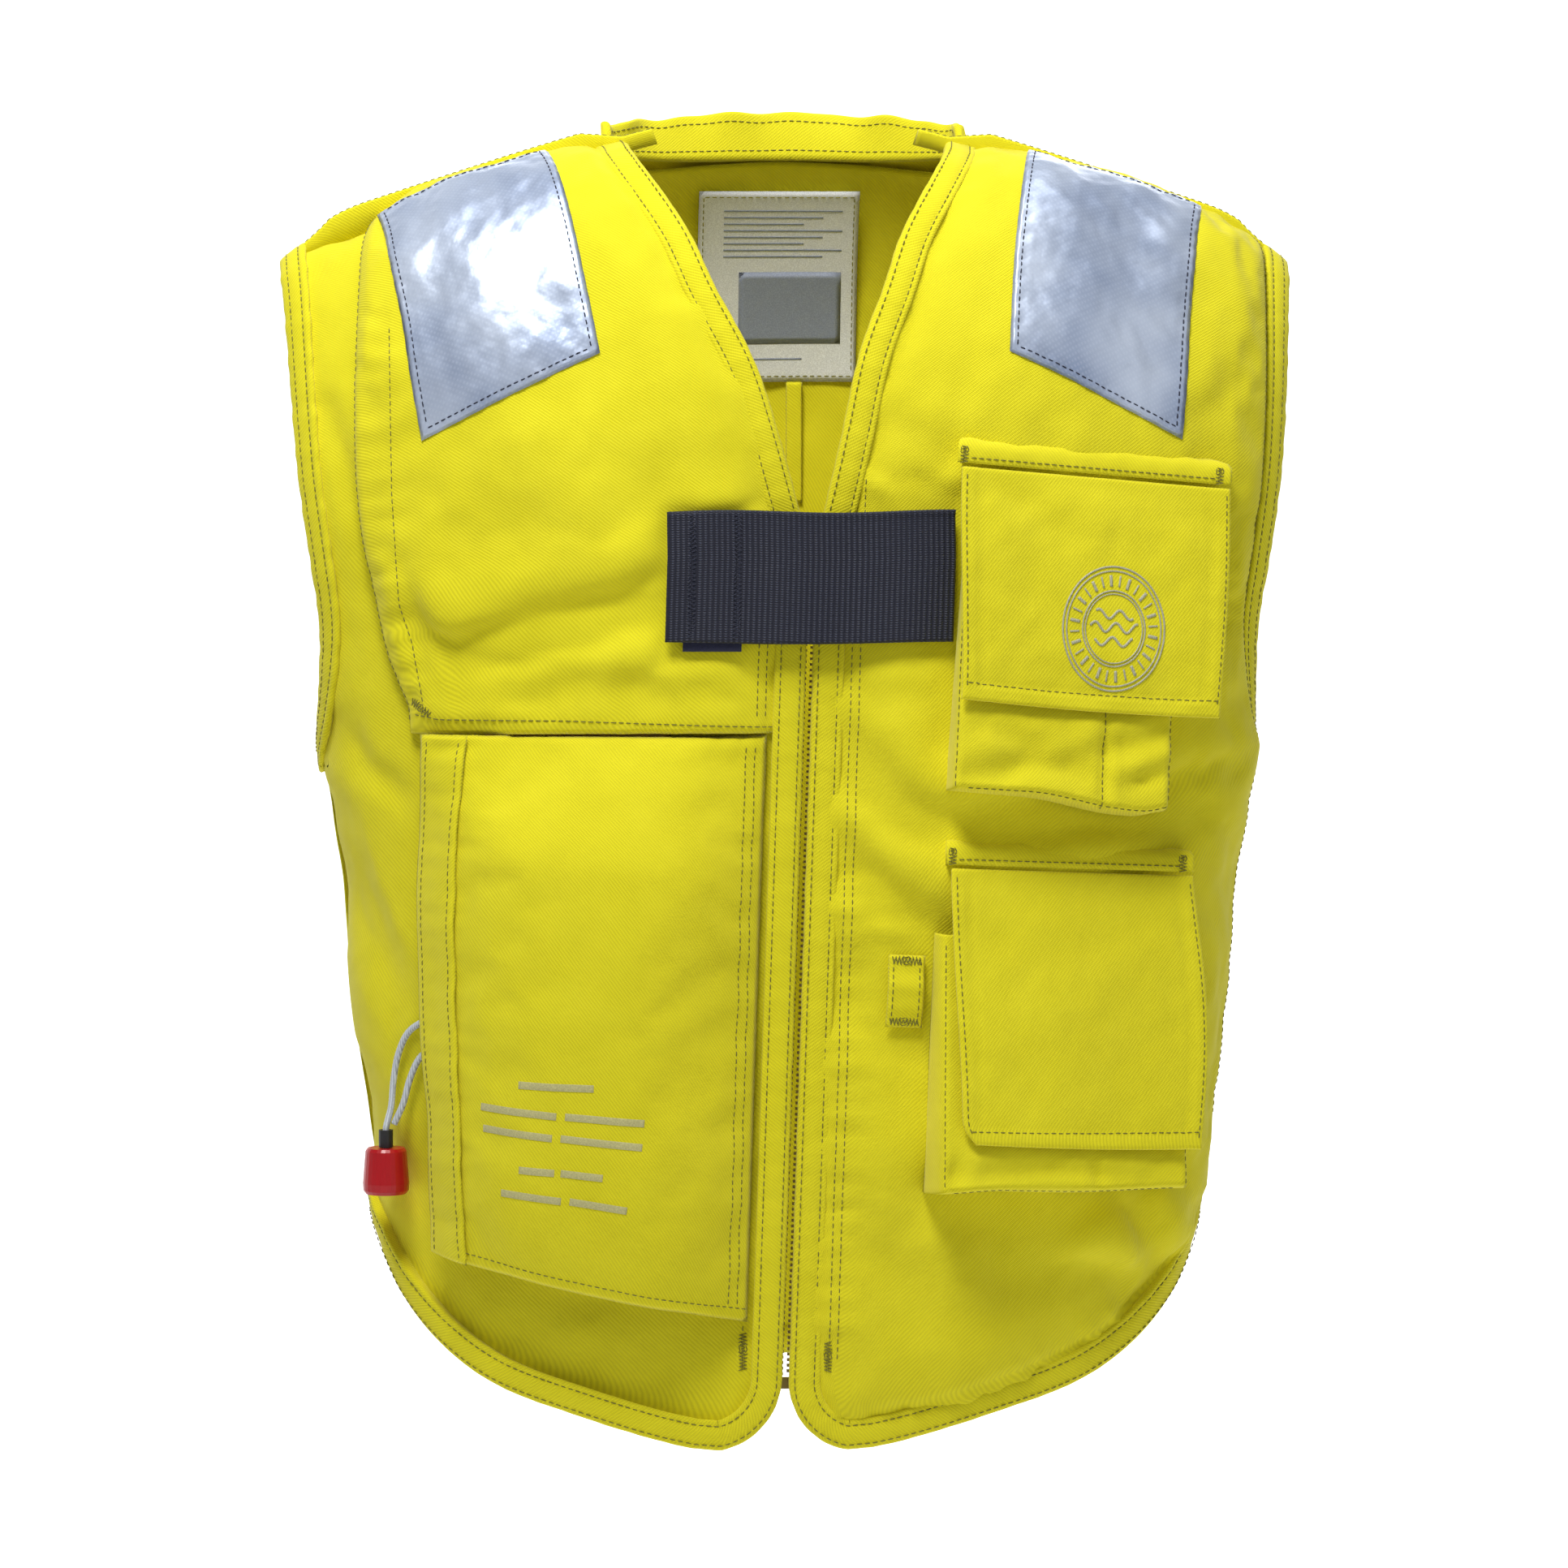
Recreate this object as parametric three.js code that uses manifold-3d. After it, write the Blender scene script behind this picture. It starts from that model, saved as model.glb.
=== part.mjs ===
// Inflatable life jacket in the shape of a work vest, size medium (chest 1.02 to 1.07 m), in millimetres.
//
// Frame: +Z up, the front faces -Y, and +X is towards the wearer's left hand. The origin lies midway
// between the two shoulders, at the height where their undersides rest on the wearer beside the neck.
//
// Cloth is laid on one torso form. A place on the form is (angle, down): the angle turns from the centre
// front (0) over the wearer's left side (90 degrees) to the centre back (180), and down is the cloth
// length from the shoulder ridge. A lift is a distance out from the lining side of the cloth.

import * as THREE from "three";
import { mergeVertices } from "three/addons/utils/BufferGeometryUtils.js";
import Module from "manifold-3d";

const wasm = await Module();
wasm.setup();

// ---------------------------------------------------------------- driving dimensions

const NECK_HALF = 74; // neck point of each shoulder, from the centre
const SHOULDER_SLOPE = 0.35; // how far the shoulder ridge drops for each mm outwards
const RIDGE_ROUNDING = 60; // how softly the two slopes meet behind the neck
const YOKE_DROP = 150; // height over which the chest curves from the ridge to upright
const YOKE_LENGTH = 192; // cloth length of that curve
const FRONT_DEPTH = 92;
const BACK_DEPTH = 94;
const SQUARENESS = 0.7; // below 1, the plan is squarer than an ellipse
const YOKE_FULLNESS = 0.85; // below 1, the chest comes forward sooner below the ridge
const YOKE_EASE = 1.12; // spreads the cloth length evenly along that curve
const HALF_WIDTH = [
  [0, 231], [60, 240], [150, 238], [220, 223], [290, 215],
  [345, 207], [400, 203], [480, 193], [560, 185], [700, 182],
];

const CLOTH = 2.4; // two plies of twill and their lining
const PLY_GAP = 1.2; // air between cloth layers
const BINDING_WIDTH = 14.5;
const EDGE_ROOM = BINDING_WIDTH + 1.2; // from a bound edge to where the cloth it binds begins
const FRONT_GAP = 1.5; // half of the slot between the two front edges
const LEAN = [[-566, -5], [-186, 7.5], [-120, 6], [-60, 2], [-10, 0]]; // [z, sideways shift of the opening]

const NECKLINE = [
  [0, 74], [-36, 50], [-64, 38], [-95, 24], [-129, 14.5], [-155, 8], [-180, FRONT_GAP],
]; // [z, half width of the opening]
const FRONT_CORNER = 34; // radius of the bottom corner of each front
const HEM_Z = [
  [0, -600], [12, -599], [33, -583], [48, -570], [61, -552], [72, -532],
  [82, -508], [90, -497], [100, -505], [120, -540], [150, -575], [180, -585],
]; // [angle in degrees, height]
const ARMHOLE = [[0, 88], [20, 80], [60, 73], [140, 70], [210, 72], [255, 79], [278, 88]];
const ARMHOLE_BOTTOM = 278;
const SIDE_SEAM = 88; // degrees

const BACK_NECK = { half: 84, down: 62 };
const COLLAR_HEIGHT = 20;

const ZIP_TOP = -186;
const ZIP_BOTTOM = -566;
const WAIST_SEAM = -266; // where the inflator cover begins under the right chest cover
const TAB = { from: -64, to: 64, top: -165, bottom: -225 }; // 60 mm webbing
const REFLECTOR = { width: 80, height: 130 };

// ---------------------------------------------------------------- materials

const finish = (color, roughness, metalness = 0) =>
  new THREE.MeshStandardMaterial({ color, roughness, metalness });

const MATERIAL = {
  twill: finish(0xe6df22, 0.85),
  lining: finish(0xd9d01e, 0.9),
  navyWeb: finish(0x14182c, 0.7),
  navyCloth: finish(0x1b2040, 0.8),
  silver: finish(0xaab7c8, 0.35, 0.3),
  label: finish(0xe4e9f2, 0.6),
  bladder: finish(0xd8a21c, 0.5),
  blackPlastic: finish(0x17181a, 0.45),
  redPlastic: finish(0xc4101c, 0.35),
  yellowPlastic: finish(0xe3c51a, 0.4),
  steel: finish(0xb9bcc0, 0.3, 0.9),
  zipMetal: finish(0x8d7a3a, 0.35, 0.8),
  cord: finish(0xe9eef2, 0.8),
  hook: finish(0xcfc61e, 0.95),
  thread: finish(0xc9c9a4, 0.6),
  tube: finish(0x22242a, 0.55),
};

// ---------------------------------------------------------------- the torso form

const radians = THREE.MathUtils.degToRad;
const lerp = THREE.MathUtils.lerp;
const clamp = THREE.MathUtils.clamp;

// A smooth curve through [place, value] rows, flat past its ends.
function throughRows(rows) {
  const down = rows[0][0] > rows[rows.length - 1][0];
  const r = down ? [...rows].reverse() : rows;
  const slope = r.map((_, i) => {
    const a = r[Math.max(i - 1, 0)];
    const b = r[Math.min(i + 1, r.length - 1)];
    return (b[1] - a[1]) / (b[0] - a[0]);
  });
  return (at) => {
    if (at <= r[0][0]) return r[0][1];
    if (at >= r[r.length - 1][0]) return r[r.length - 1][1];
    const i = r.findIndex(([place]) => place > at) - 1;
    const span = r[i + 1][0] - r[i][0];
    const t = (at - r[i][0]) / span;
    const [t2, t3] = [t * t, t * t * t];
    return (
      (2 * t3 - 3 * t2 + 1) * r[i][1] +
      (t3 - 2 * t2 + t) * span * slope[i] +
      (3 * t2 - 2 * t3) * r[i + 1][1] +
      (t3 - t2) * span * slope[i + 1]
    );
  };
}

const halfWidth = throughRows(HALF_WIDTH);
const neckline = throughRows(NECKLINE);
const hemZ = throughRows(HEM_Z);
const armhole = throughRows(ARMHOLE);
const LEAN_SLOPE = (LEAN[1][1] - LEAN[0][1]) / (LEAN[1][0] - LEAN[0][0]);
const upperLean = throughRows(LEAN.slice(1));
// The opening runs straight behind the zip, and curves back to the middle above it.
const lean = (z) => (z < LEAN[1][0] ? LEAN[0][1] + LEAN_SLOPE * (z - LEAN[0][0]) : upperLean(z));

const ridge = (x) =>
  SHOULDER_SLOPE * (Math.hypot(NECK_HALF, RIDGE_ROUNDING) - Math.hypot(x, RIDGE_ROUNDING));

function formPoint(angle, down) {
  const x = halfWidth(down) * Math.sin(angle);
  const turn = (Math.min(down / YOKE_LENGTH, 1) ** YOKE_EASE * Math.PI) / 2;
  const facing = Math.cos(angle);
  const depth = facing >= 0 ? -FRONT_DEPTH : BACK_DEPTH;
  const y = depth * Math.abs(facing) ** SQUARENESS * Math.sin(turn) ** YOKE_FULLNESS;
  const z = ridge(x) - YOKE_DROP * (1 - Math.cos(turn)) - Math.max(0, down - YOKE_LENGTH);
  return new THREE.Vector3(x + lean(z) * Math.max(0, facing) ** 2, y, z);
}

function formNormal(angle, down) {
  const step = 1e-3;
  const d = Math.max(down, 1);
  const along = formPoint(angle + step, d).sub(formPoint(angle - step, d));
  const downwards = formPoint(angle, d + 0.5).sub(formPoint(angle, d - 0.5));
  const n = along.cross(downwards).normalize();
  const p = formPoint(angle, d);
  const outwards = new THREE.Vector3(p.x, p.y, Math.max(0, p.z + YOKE_DROP));
  return n.dot(outwards) < 0 ? n.negate() : n;
}

// A point over the form at an angle in degrees.
function lay(angle, down, lift) {
  const a = radians(angle);
  return formPoint(a, down).addScaledVector(formNormal(a, down), lift);
}

// The cloth length from the ridge to a drop below it.
function downOf(drop) {
  if (drop >= YOKE_DROP) return YOKE_LENGTH + drop - YOKE_DROP;
  return YOKE_LENGTH * ((2 * Math.acos(1 - Math.max(drop, 0) / YOKE_DROP)) / Math.PI) ** (1 / YOKE_EASE);
}

const angleAt = (x, down) =>
  THREE.MathUtils.radToDeg(Math.asin(clamp(x / halfWidth(down), -0.999, 0.999)));

// A point over the chest or the back, by where it is seen from straight ahead.
function onFront(x, z, lift) {
  const down = downOf(ridge(x) - z);
  return lay(angleAt(x, down), down, lift);
}
function onBack(x, z, lift) {
  const down = downOf(ridge(x) - z);
  return lay(180 - angleAt(x, down), down, lift);
}

// The cloth length from one degree to the next.
function degree(angle, down) {
  const [a, b] = [angle - 0.5, angle + 0.5].map((at) => formPoint(radians(at), down));
  return a.distanceTo(b);
}

const hemDown = (angle) =>
  YOKE_LENGTH - YOKE_DROP +
  ridge(halfWidth(560) * Math.sin(radians(angle))) - hemZ(Math.abs(angle));

// ---------------------------------------------------------------- making solids

// A geometry with every vertex moved by place(point), its faces turned out if that mirrored it.
function bent(geometry, place) {
  const g = geometry.index ? geometry.toNonIndexed() : geometry.clone();
  const position = g.getAttribute("position");
  const p = new THREE.Vector3();
  for (let i = 0; i < position.count; i++) {
    const moved = place(p.fromBufferAttribute(position, i));
    position.setXYZ(i, moved.x, moved.y, moved.z);
  }
  const [a, b, c] = [new THREE.Vector3(), new THREE.Vector3(), new THREE.Vector3()];
  let volume = 0;
  for (let i = 0; i < position.count; i += 3) {
    a.fromBufferAttribute(position, i);
    b.fromBufferAttribute(position, i + 1);
    c.fromBufferAttribute(position, i + 2);
    volume += a.dot(b.cross(c));
  }
  if (volume < 0) {
    for (let i = 0; i < position.count; i += 3) {
      b.fromBufferAttribute(position, i + 1);
      c.fromBufferAttribute(position, i + 2);
      position.setXYZ(i + 1, c.x, c.y, c.z);
      position.setXYZ(i + 2, b.x, b.y, b.z);
    }
  }
  g.computeVertexNormals();
  return g;
}

// A sheet over (u, v) from 0 to 1, between two lifts; place(u, v, lift) says where.
function sheet(across, along, place, under, over) {
  const value = (f, u, v) => (typeof f === "function" ? f(u, v) : f);
  return bent(new THREE.BoxGeometry(1, 1, 1, across, 1, along), (p) => {
    const [u, v] = [p.x + 0.5, p.z + 0.5];
    return place(u, v, p.y < 0 ? value(under, u, v) : value(over, u, v));
  });
}

// A strip along frame(t), which gives a point, the way across and the way out.
function strip(steps, frame, width, under, over) {
  return bent(new THREE.BoxGeometry(1, 1, 1, steps, 1, 1), (p) => {
    const { point, across, out } = frame(p.x + 0.5);
    return point
      .clone()
      .addScaledVector(across, p.z * width)
      .addScaledVector(out, p.y < 0 ? under : over);
  });
}

// The frame of a line drawn on the form: place(t) gives its [angle, down].
function lineFrame(place, side = 1) {
  const at = (t) => {
    const [angle, down] = place(t);
    return formPoint(radians(angle), down);
  };
  return (t) => {
    const step = 1e-3;
    const along = at(Math.min(t + step, 1)).sub(at(Math.max(t - step, 0))).normalize();
    const [angle, down] = place(t);
    const out = formNormal(radians(angle), down);
    return { point: at(t), across: out.clone().cross(along).multiplyScalar(side), out };
  };
}

function solidOf(geometry) {
  const bare = geometry.clone();
  for (const name of Object.keys(bare.attributes)) {
    if (name !== "position") bare.deleteAttribute(name);
  }
  const merged = mergeVertices(bare, 1e-4);
  const { array } = merged.attributes.position;
  return new wasm.Manifold(
    new wasm.Mesh({ numProp: 3, vertProperties: array, triVerts: new Uint32Array(merged.index.array) }),
  );
}

function geometryOf(solid) {
  const m = solid.getMesh();
  const g = new THREE.BufferGeometry();
  g.setAttribute("position", new THREE.BufferAttribute(new Float32Array(m.vertProperties), 3));
  g.setIndex(new THREE.BufferAttribute(new Uint32Array(m.triVerts), 1));
  g.computeVertexNormals();
  return g;
}

const joined = (...parts) => geometryOf(parts.map(solidOf).reduce((a, b) => a.add(b)));
const cut = (from, ...tools) =>
  geometryOf(tools.map(solidOf).reduce((a, b) => a.subtract(b), solidOf(from)));

function node(name, geometry, material) {
  const mesh = new THREE.Mesh(geometry, material);
  mesh.name = name;
  return mesh;
}

const boxAt = (w, d, h, x, y, z) => new THREE.BoxGeometry(w, d, h).translate(x, y, z);
// A cylinder along X, Y or Z.
function rodAt(axis, radius, length, x, y, z, sides = 20) {
  const g = new THREE.CylinderGeometry(radius, radius, length, sides);
  if (axis === "x") g.rotateZ(Math.PI / 2);
  if (axis === "z") g.rotateX(Math.PI / 2);
  return g.translate(x, y, z);
}
// A turned piece about Z from [radius, height] rows that start and end on the axis.
const turned = (rows, sides = 24) =>
  new THREE.LatheGeometry(rows.map(([r, h]) => new THREE.Vector2(r, h)), sides).rotateX(Math.PI / 2);

// ---------------------------------------------------------------- edges of the cloth

// The free edge of one front, as a curve of (angle, down) from the neck point to the side seam.
const frontEdge = (() => {
  const rows = [];
  for (let z = 0; z > ZIP_BOTTOM; z -= 12) rows.push([Math.max(neckline(z), FRONT_GAP), z]);
  const [cx, cz] = [FRONT_GAP + FRONT_CORNER, -600 + FRONT_CORNER];
  for (let turn = 180; turn < 262; turn += 15) {
    rows.push([cx + FRONT_CORNER * Math.cos(radians(turn)), cz + FRONT_CORNER * Math.sin(radians(turn))]);
  }
  const places = rows.map(([x, z]) => {
    const down = downOf(ridge(x) - z);
    return new THREE.Vector2(angleAt(x, down), down);
  });
  for (let angle = 14; angle <= SIDE_SEAM; angle += 6) {
    places.push(new THREE.Vector2(angle, hemDown(angle)));
  }
  return new THREE.SplineCurve(places);
})();

// A line at a distance inside a curve of (angle, down), measured on the cloth.
function insetLine(curve, distance, side) {
  return (t) => {
    const p = curve.getPoint(t);
    const d = curve.getTangent(t);
    const wide = degree(p.x, p.y);
    const along = new THREE.Vector2(d.x * wide, d.y).normalize();
    return [side * (p.x + (along.y * distance) / wide), p.y - along.x * distance];
  };
}

// The angle at which the cloth begins beside the bound front edge.
function clothEdge(down) {
  const z = ridge(20) - YOKE_DROP - (down - YOKE_LENGTH);
  const corner = ZIP_BOTTOM - z;
  if (corner > 0) {
    const radius = FRONT_CORNER - EDGE_ROOM;
    const x = FRONT_GAP + FRONT_CORNER - Math.sqrt(Math.max(0, radius ** 2 - corner ** 2));
    return angleAt(x, down);
  }
  return neckEdge(down);
}
const neckEdge = (() => {
  const inset = insetLine(frontEdge, EDGE_ROOM, 1);
  const rows = [];
  for (let t = 0; t < 0.8; t += 0.004) {
    const [angle, down] = inset(t);
    if (!rows.length || down > rows[rows.length - 1][0] + 6) rows.push([down, angle]);
  }
  return throughRows(rows);
})();

// How much longer a hem's depth measures straight down than square to the hem.
function hemLean(angle) {
  const rise = (hemDown(angle + 1) - hemDown(angle - 1)) / 2;
  return Math.hypot(1, rise / degree(angle, 560));
}
const clothHem = (angle) => hemDown(angle) - EDGE_ROOM * hemLean(angle);

const RIM_ROOM = 8.2; // cloth ends this far short of the armhole's rim
function clothOuter(down) {
  if (down > ARMHOLE_BOTTOM + RIM_ROOM) return SIDE_SEAM - 0.4;
  const rim = armhole(down);
  return Math.min(rim - RIM_ROOM / degree(rim - 2, down), SIDE_SEAM - 0.4);
}

// ---------------------------------------------------------------- shell of the vest

const FRONT_TOP = 2;
const CORNER_ANGLE = angleAt(FRONT_GAP + FRONT_CORNER, 600);

// Cloth over (angle, down), where grid(u, v) gives the place and each lift may depend on it.
function cloth(across, along, grid, under, over) {
  const level = (f, angle, down) => (typeof f === "function" ? f(angle, down) : f);
  return bent(new THREE.BoxGeometry(1, 1, 1, across, 1, along), (p) => {
    const [angle, down] = grid(p.x + 0.5, p.z + 0.5);
    return lay(angle, down, level(p.y < 0 ? under : over, Math.abs(angle), down));
  });
}

// One front from a line across its top to a line across its bottom, between two edges.
function frontGrid(side, bottom, outer) {
  return (u, v) => {
    const down = lerp(FRONT_TOP, bottom(u), v);
    return [side * lerp(clothEdge(down), outer(down), u), down];
  };
}
const toHem = (outer) => (u) => clothHem(lerp(CORNER_ANGLE, outer, u));

const frontLining = (side) =>
  cloth(12, 20, frontGrid(side, toHem(SIDE_SEAM - 0.4), clothOuter), 0, CLOTH);

// The covers stand off over the folded bladder, and come down to the lining along their edges.
const COVER_LIFT = 10.2;
const COVER_EDGE = CLOTH + PLY_GAP;
function swell(...edgeDistances) {
  const rise = edgeDistances.map((mm) => Math.sqrt(clamp(mm / 24, 0, 1)));
  return lerp(COVER_EDGE, COVER_LIFT, Math.min(...rise));
}

const rightOuter = throughRows([
  [0, 55], [40, 55.5], [90, 56], [140, 57.5], [185, 59], [235, 58.3], [250, 56.7], [266, 54.7],
]);
const leftOuter = (down) => Math.min(clothOuter(down) - 1, 82);
const frontSwell = (outer) => (angle, down) =>
  swell(
    (angle - clothEdge(down)) * degree(angle, down),
    (outer(down) - angle) * degree(angle, down),
    clothHem(angle) - down,
  );
const rightSwell = frontSwell(rightOuter);
const leftSwell = frontSwell(leftOuter);

function rightChestCover() {
  const bottom = (u) => {
    const angle = lerp(clothEdge(310), rightOuter(310), u);
    return downOf(ridge(halfWidth(310) * Math.sin(radians(angle))) - WAIST_SEAM) - 1;
  };
  const grid = frontGrid(-1, bottom, rightOuter);
  return cloth(12, 10, grid, rightSwell, (a, d) => rightSwell(a, d) + CLOTH);
}

function leftChestCover() {
  const grid = frontGrid(1, toHem(82), leftOuter);
  return cloth(12, 20, grid, leftSwell, (a, d) => leftSwell(a, d) + CLOTH);
}

// Behind the neck the cloth begins below the collar.
function neckDrop(x) {
  const inside = 1 - (x / BACK_NECK.half) ** 2;
  return inside > 0 ? BACK_NECK.down * Math.sqrt(inside) : 0;
}

// The back, swept from the right edge to the left: grid(u, v) over the span each side of the centre.
function backGrid(bottom, outer, room) {
  return (u, v) => {
    const swing = 2 * u - 1;
    const side = Math.sign(swing) || 1;
    const x = Math.abs(swing) * 214;
    const drop = neckDrop(x);
    const top = drop > 0 ? drop + room : FRONT_TOP;
    const down = lerp(top, bottom(Math.abs(swing)), v);
    return [side * 180 - swing * outer(down), down];
  };
}

const backOuter = (down) => {
  const outer = clothOuter(down);
  return outer < SIDE_SEAM - 0.5 ? outer : 180 - SIDE_SEAM - 0.4;
};
const backPanel = () =>
  cloth(24, 20, backGrid((swing) => clothHem(180 - swing * 91), backOuter, 5), 0, CLOTH);

const yokeOuter = throughRows([[0, 72], [40, 66], [90, 61], [200, 59]]);
const backSwell = (angle, down) => {
  const x = halfWidth(down) * Math.sin(radians(angle));
  return swell(
    (yokeOuter(down) - (180 - angle)) * degree(angle, down),
    x < BACK_NECK.half ? down - neckDrop(x) - 5 : 99,
    YOKE_LENGTH - down,
  );
};
const backYoke = () =>
  cloth(24, 8, backGrid(() => 186, yokeOuter, 6), backSwell, (a, d) => backSwell(a, d) + CLOTH);

// ---------------------------------------------------------------- bindings and collar

const BINDING_UNDER = -0.8;
const BINDING_OVER = 6.6;
function frontBinding(side) {
  const centre = insetLine(frontEdge, BINDING_WIDTH / 2, side);
  return strip(48, lineFrame(centre), BINDING_WIDTH, BINDING_UNDER, BINDING_OVER);
}

function backHemBinding() {
  const from = SIDE_SEAM + 1;
  const centre = (t) => {
    const angle = lerp(from, 360 - from, t);
    const folded = angle > 180 ? angle - 360 : angle;
    return [folded, hemDown(folded) - (BINDING_WIDTH / 2) * hemLean(Math.abs(folded))];
  };
  return strip(30, lineFrame(centre), BINDING_WIDTH, BINDING_UNDER, 4.5);
}

// A rolled ring in the armhole, just outside the cloth's edge.
function armholeBinding(side) {
  const place = (t) => {
    const around = t * 2 * Math.PI;
    const down = (ARMHOLE_BOTTOM / 2) * (1 - Math.cos(around));
    const front = Math.sin(around) >= 0;
    const rim = armhole(down);
    return lay(side * (front ? rim : 180 - rim), Math.max(down, 0.5), 2);
  };
  const centre = place(0).add(place(0.5)).multiplyScalar(0.5);
  return bent(new THREE.TorusGeometry(1, 0.25, 8, 44), (p) => {
    const t = (Math.atan2(p.y, p.x) / (2 * Math.PI) + 1) % 1;
    const here = place(t);
    const along = place((t + 0.004) % 1).sub(place((t + 0.996) % 1)).normalize();
    const inwards = centre.clone().sub(here);
    inwards.addScaledVector(along, -inwards.dot(along)).normalize();
    const out = along.cross(inwards);
    const across = (Math.hypot(p.x, p.y) - 1) / 0.25;
    return here.addScaledVector(inwards, across * 5.4 + 1).addScaledVector(out, (p.z / 0.25) * 3);
  });
}

function collarBand() {
  const base = (t) => {
    const swing = lerp(-1, 1, t);
    const x = BACK_NECK.half * Math.sin((swing * Math.PI) / 2);
    return onBackNeck(x);
  };
  return bent(new THREE.BoxGeometry(1, 1, 1, 24, 1, 3), (p) => {
    const t = p.x + 0.5;
    const along = base(Math.min(t + 0.01, 1)).sub(base(Math.max(t - 0.01, 0))).normalize();
    const up = new THREE.Vector3(0, 0.25, 1).normalize();
    const out = along.clone().cross(up).normalize();
    const rise = p.z + 0.5;
    const tall = COLLAR_HEIGHT * (0.55 + 0.45 * Math.sin(Math.PI * clamp(t, 0.1, 0.9)));
    return base(t)
      .addScaledVector(up, 3.5 + rise * tall)
      .addScaledVector(out, p.y * 4.4);
  });
}

function onBackNeck(x) {
  const down = BACK_NECK.down * Math.sqrt(Math.max(0, 1 - (x / BACK_NECK.half) ** 2)) + 1;
  return lay(180 - angleAt(x, down), down, 0);
}

// ---------------------------------------------------------------- the zip

// The zip hangs behind the two bound edges; only the slider's lug passes between them.
const CHAIN = { inner: 0.9, width: 2.5, thick: 3, y: -FRONT_DEPTH + 4.1 };
const ZIP_LENGTH = ZIP_TOP - ZIP_BOTTOM;
const leaning = (geometry) => bent(geometry, (p) => new THREE.Vector3(p.x + lean(p.z), p.y, p.z));

function zipTape(side) {
  const [back, front] = [CHAIN.y + 0.5, CHAIN.y - 0.5];
  const step = 2.5; // forward to the back of the binding
  const section = [
    [3.8, back], [8.5, back - step], [15.6, back - step],
    [15.6, front - step], [7.5, front - step], [3.8, front],
  ].map(([x, y]) => new THREE.Vector2(side * x, y));
  if (side < 0) section.reverse();
  const options = { depth: ZIP_LENGTH, bevelEnabled: false };
  const tape = new THREE.ExtrudeGeometry(new THREE.Shape(section), options);
  return leaning(tape.translate(0, 0, ZIP_BOTTOM));
}

function zipChain(side) {
  const x = side * (CHAIN.inner + CHAIN.width / 2);
  return leaning(boxAt(CHAIN.width, CHAIN.thick, ZIP_LENGTH, x, CHAIN.y, (ZIP_TOP + ZIP_BOTTOM) / 2));
}

const SLIDER = { z: ZIP_TOP - 6, length: 9, half: 4.8, plate: 1, pivotY: -FRONT_DEPTH - 9.4 };
function zipSlider() {
  const stand = CHAIN.thick / 2 + 0.4 + SLIDER.plate / 2;
  const post = boxAt(1.1, 2 * stand, SLIDER.length, 0, CHAIN.y, SLIDER.z);
  const plates = [stand, -stand].map((y) =>
    boxAt(2 * SLIDER.half, SLIDER.plate, SLIDER.length, 0, CHAIN.y + y, SLIDER.z));
  const [lugBack, lugFront] = [CHAIN.y - stand, SLIDER.pivotY - 1.9];
  const lug = boxAt(1.2, lugBack - lugFront, 6, 0, (lugBack + lugFront) / 2, SLIDER.z);
  return leaning(cut(joined(post, ...plates, lug), rodAt("x", 1.15, 4, 0, SLIDER.pivotY, SLIDER.z, 12)));
}

function zipPull() {
  const [y, z] = [SLIDER.pivotY, SLIDER.z];
  const pin = rodAt("x", 0.75, 5.4, 0, y, z, 10);
  const ears = [-1, 1].map((s) => boxAt(1.2, 1.5, 5, s * 2.1, y, z - 1.75));
  const blade = boxAt(7, 1.3, 22, 0, y, z - 15);
  return leaning(cut(joined(pin, ...ears, blade), rodAt("y", 1.6, 4, 0, y, z - 22, 12)));
}

// ---------------------------------------------------------------- bladder and inflator

const BLADDER = { under: CLOTH + 1, thick: 3.2, half: 40, neckHalf: 26 };
function bladder() {
  const route = new THREE.SplineCurve(
    [
      [-92, 455], [-98, 360], [-108, 250], [-124, 130], [-139, 40], [-128, -40], [-84, -108], [0, -126],
      [84, -108], [128, -40], [139, 40], [124, 130], [108, 250], [98, 360], [92, 430],
    ].map(([x, down]) => new THREE.Vector2(x, down)),
  );
  const grid = (u, v) => {
    const t = clamp(u, 0.002, 0.998);
    const p = route.getPoint(t);
    const d = route.getTangent(t);
    const lobe = Math.min(1, 8 * t + 0.35, 8 * (1 - t) + 0.35);
    const width = lerp(BLADDER.neckHalf, BLADDER.half, clamp((Math.abs(p.y) - 60) / 60, 0, 1));
    const sideways = (2 * v - 1) * lobe * width;
    const [x, down] = [p.x - d.y * sideways, p.y + d.x * sideways];
    const angle = angleAt(x, Math.abs(down));
    return [down >= 0 ? angle : Math.sign(x || 1) * 180 - angle, Math.abs(down)];
  };
  return cloth(56, 4, grid, BLADDER.under, BLADDER.under + BLADDER.thick);
}

const STACK = BLADDER.under + BLADDER.thick;
const INFLATOR = { x: -84, top: -350, height: 34, width: 30, thick: 15 };
const inflatorY = onFront(INFLATOR.x, -380, 21.5).y;
const CYLINDER = { radius: 11, length: 92 };
const LEVER_REST = -20; // degrees the arm points below level
const LEVER = { pivotX: INFLATOR.x - INFLATOR.width / 2 - 4.5, pivotZ: -364, arm: 24, rest: LEVER_REST };

const inflatorFlange = () =>
  bent(rodAt("y", 11, 1.6, 0, 0, 0, 24), (p) => onFront(INFLATOR.x + p.x, -366 + p.z, STACK + 1.4 - p.y));

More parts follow.
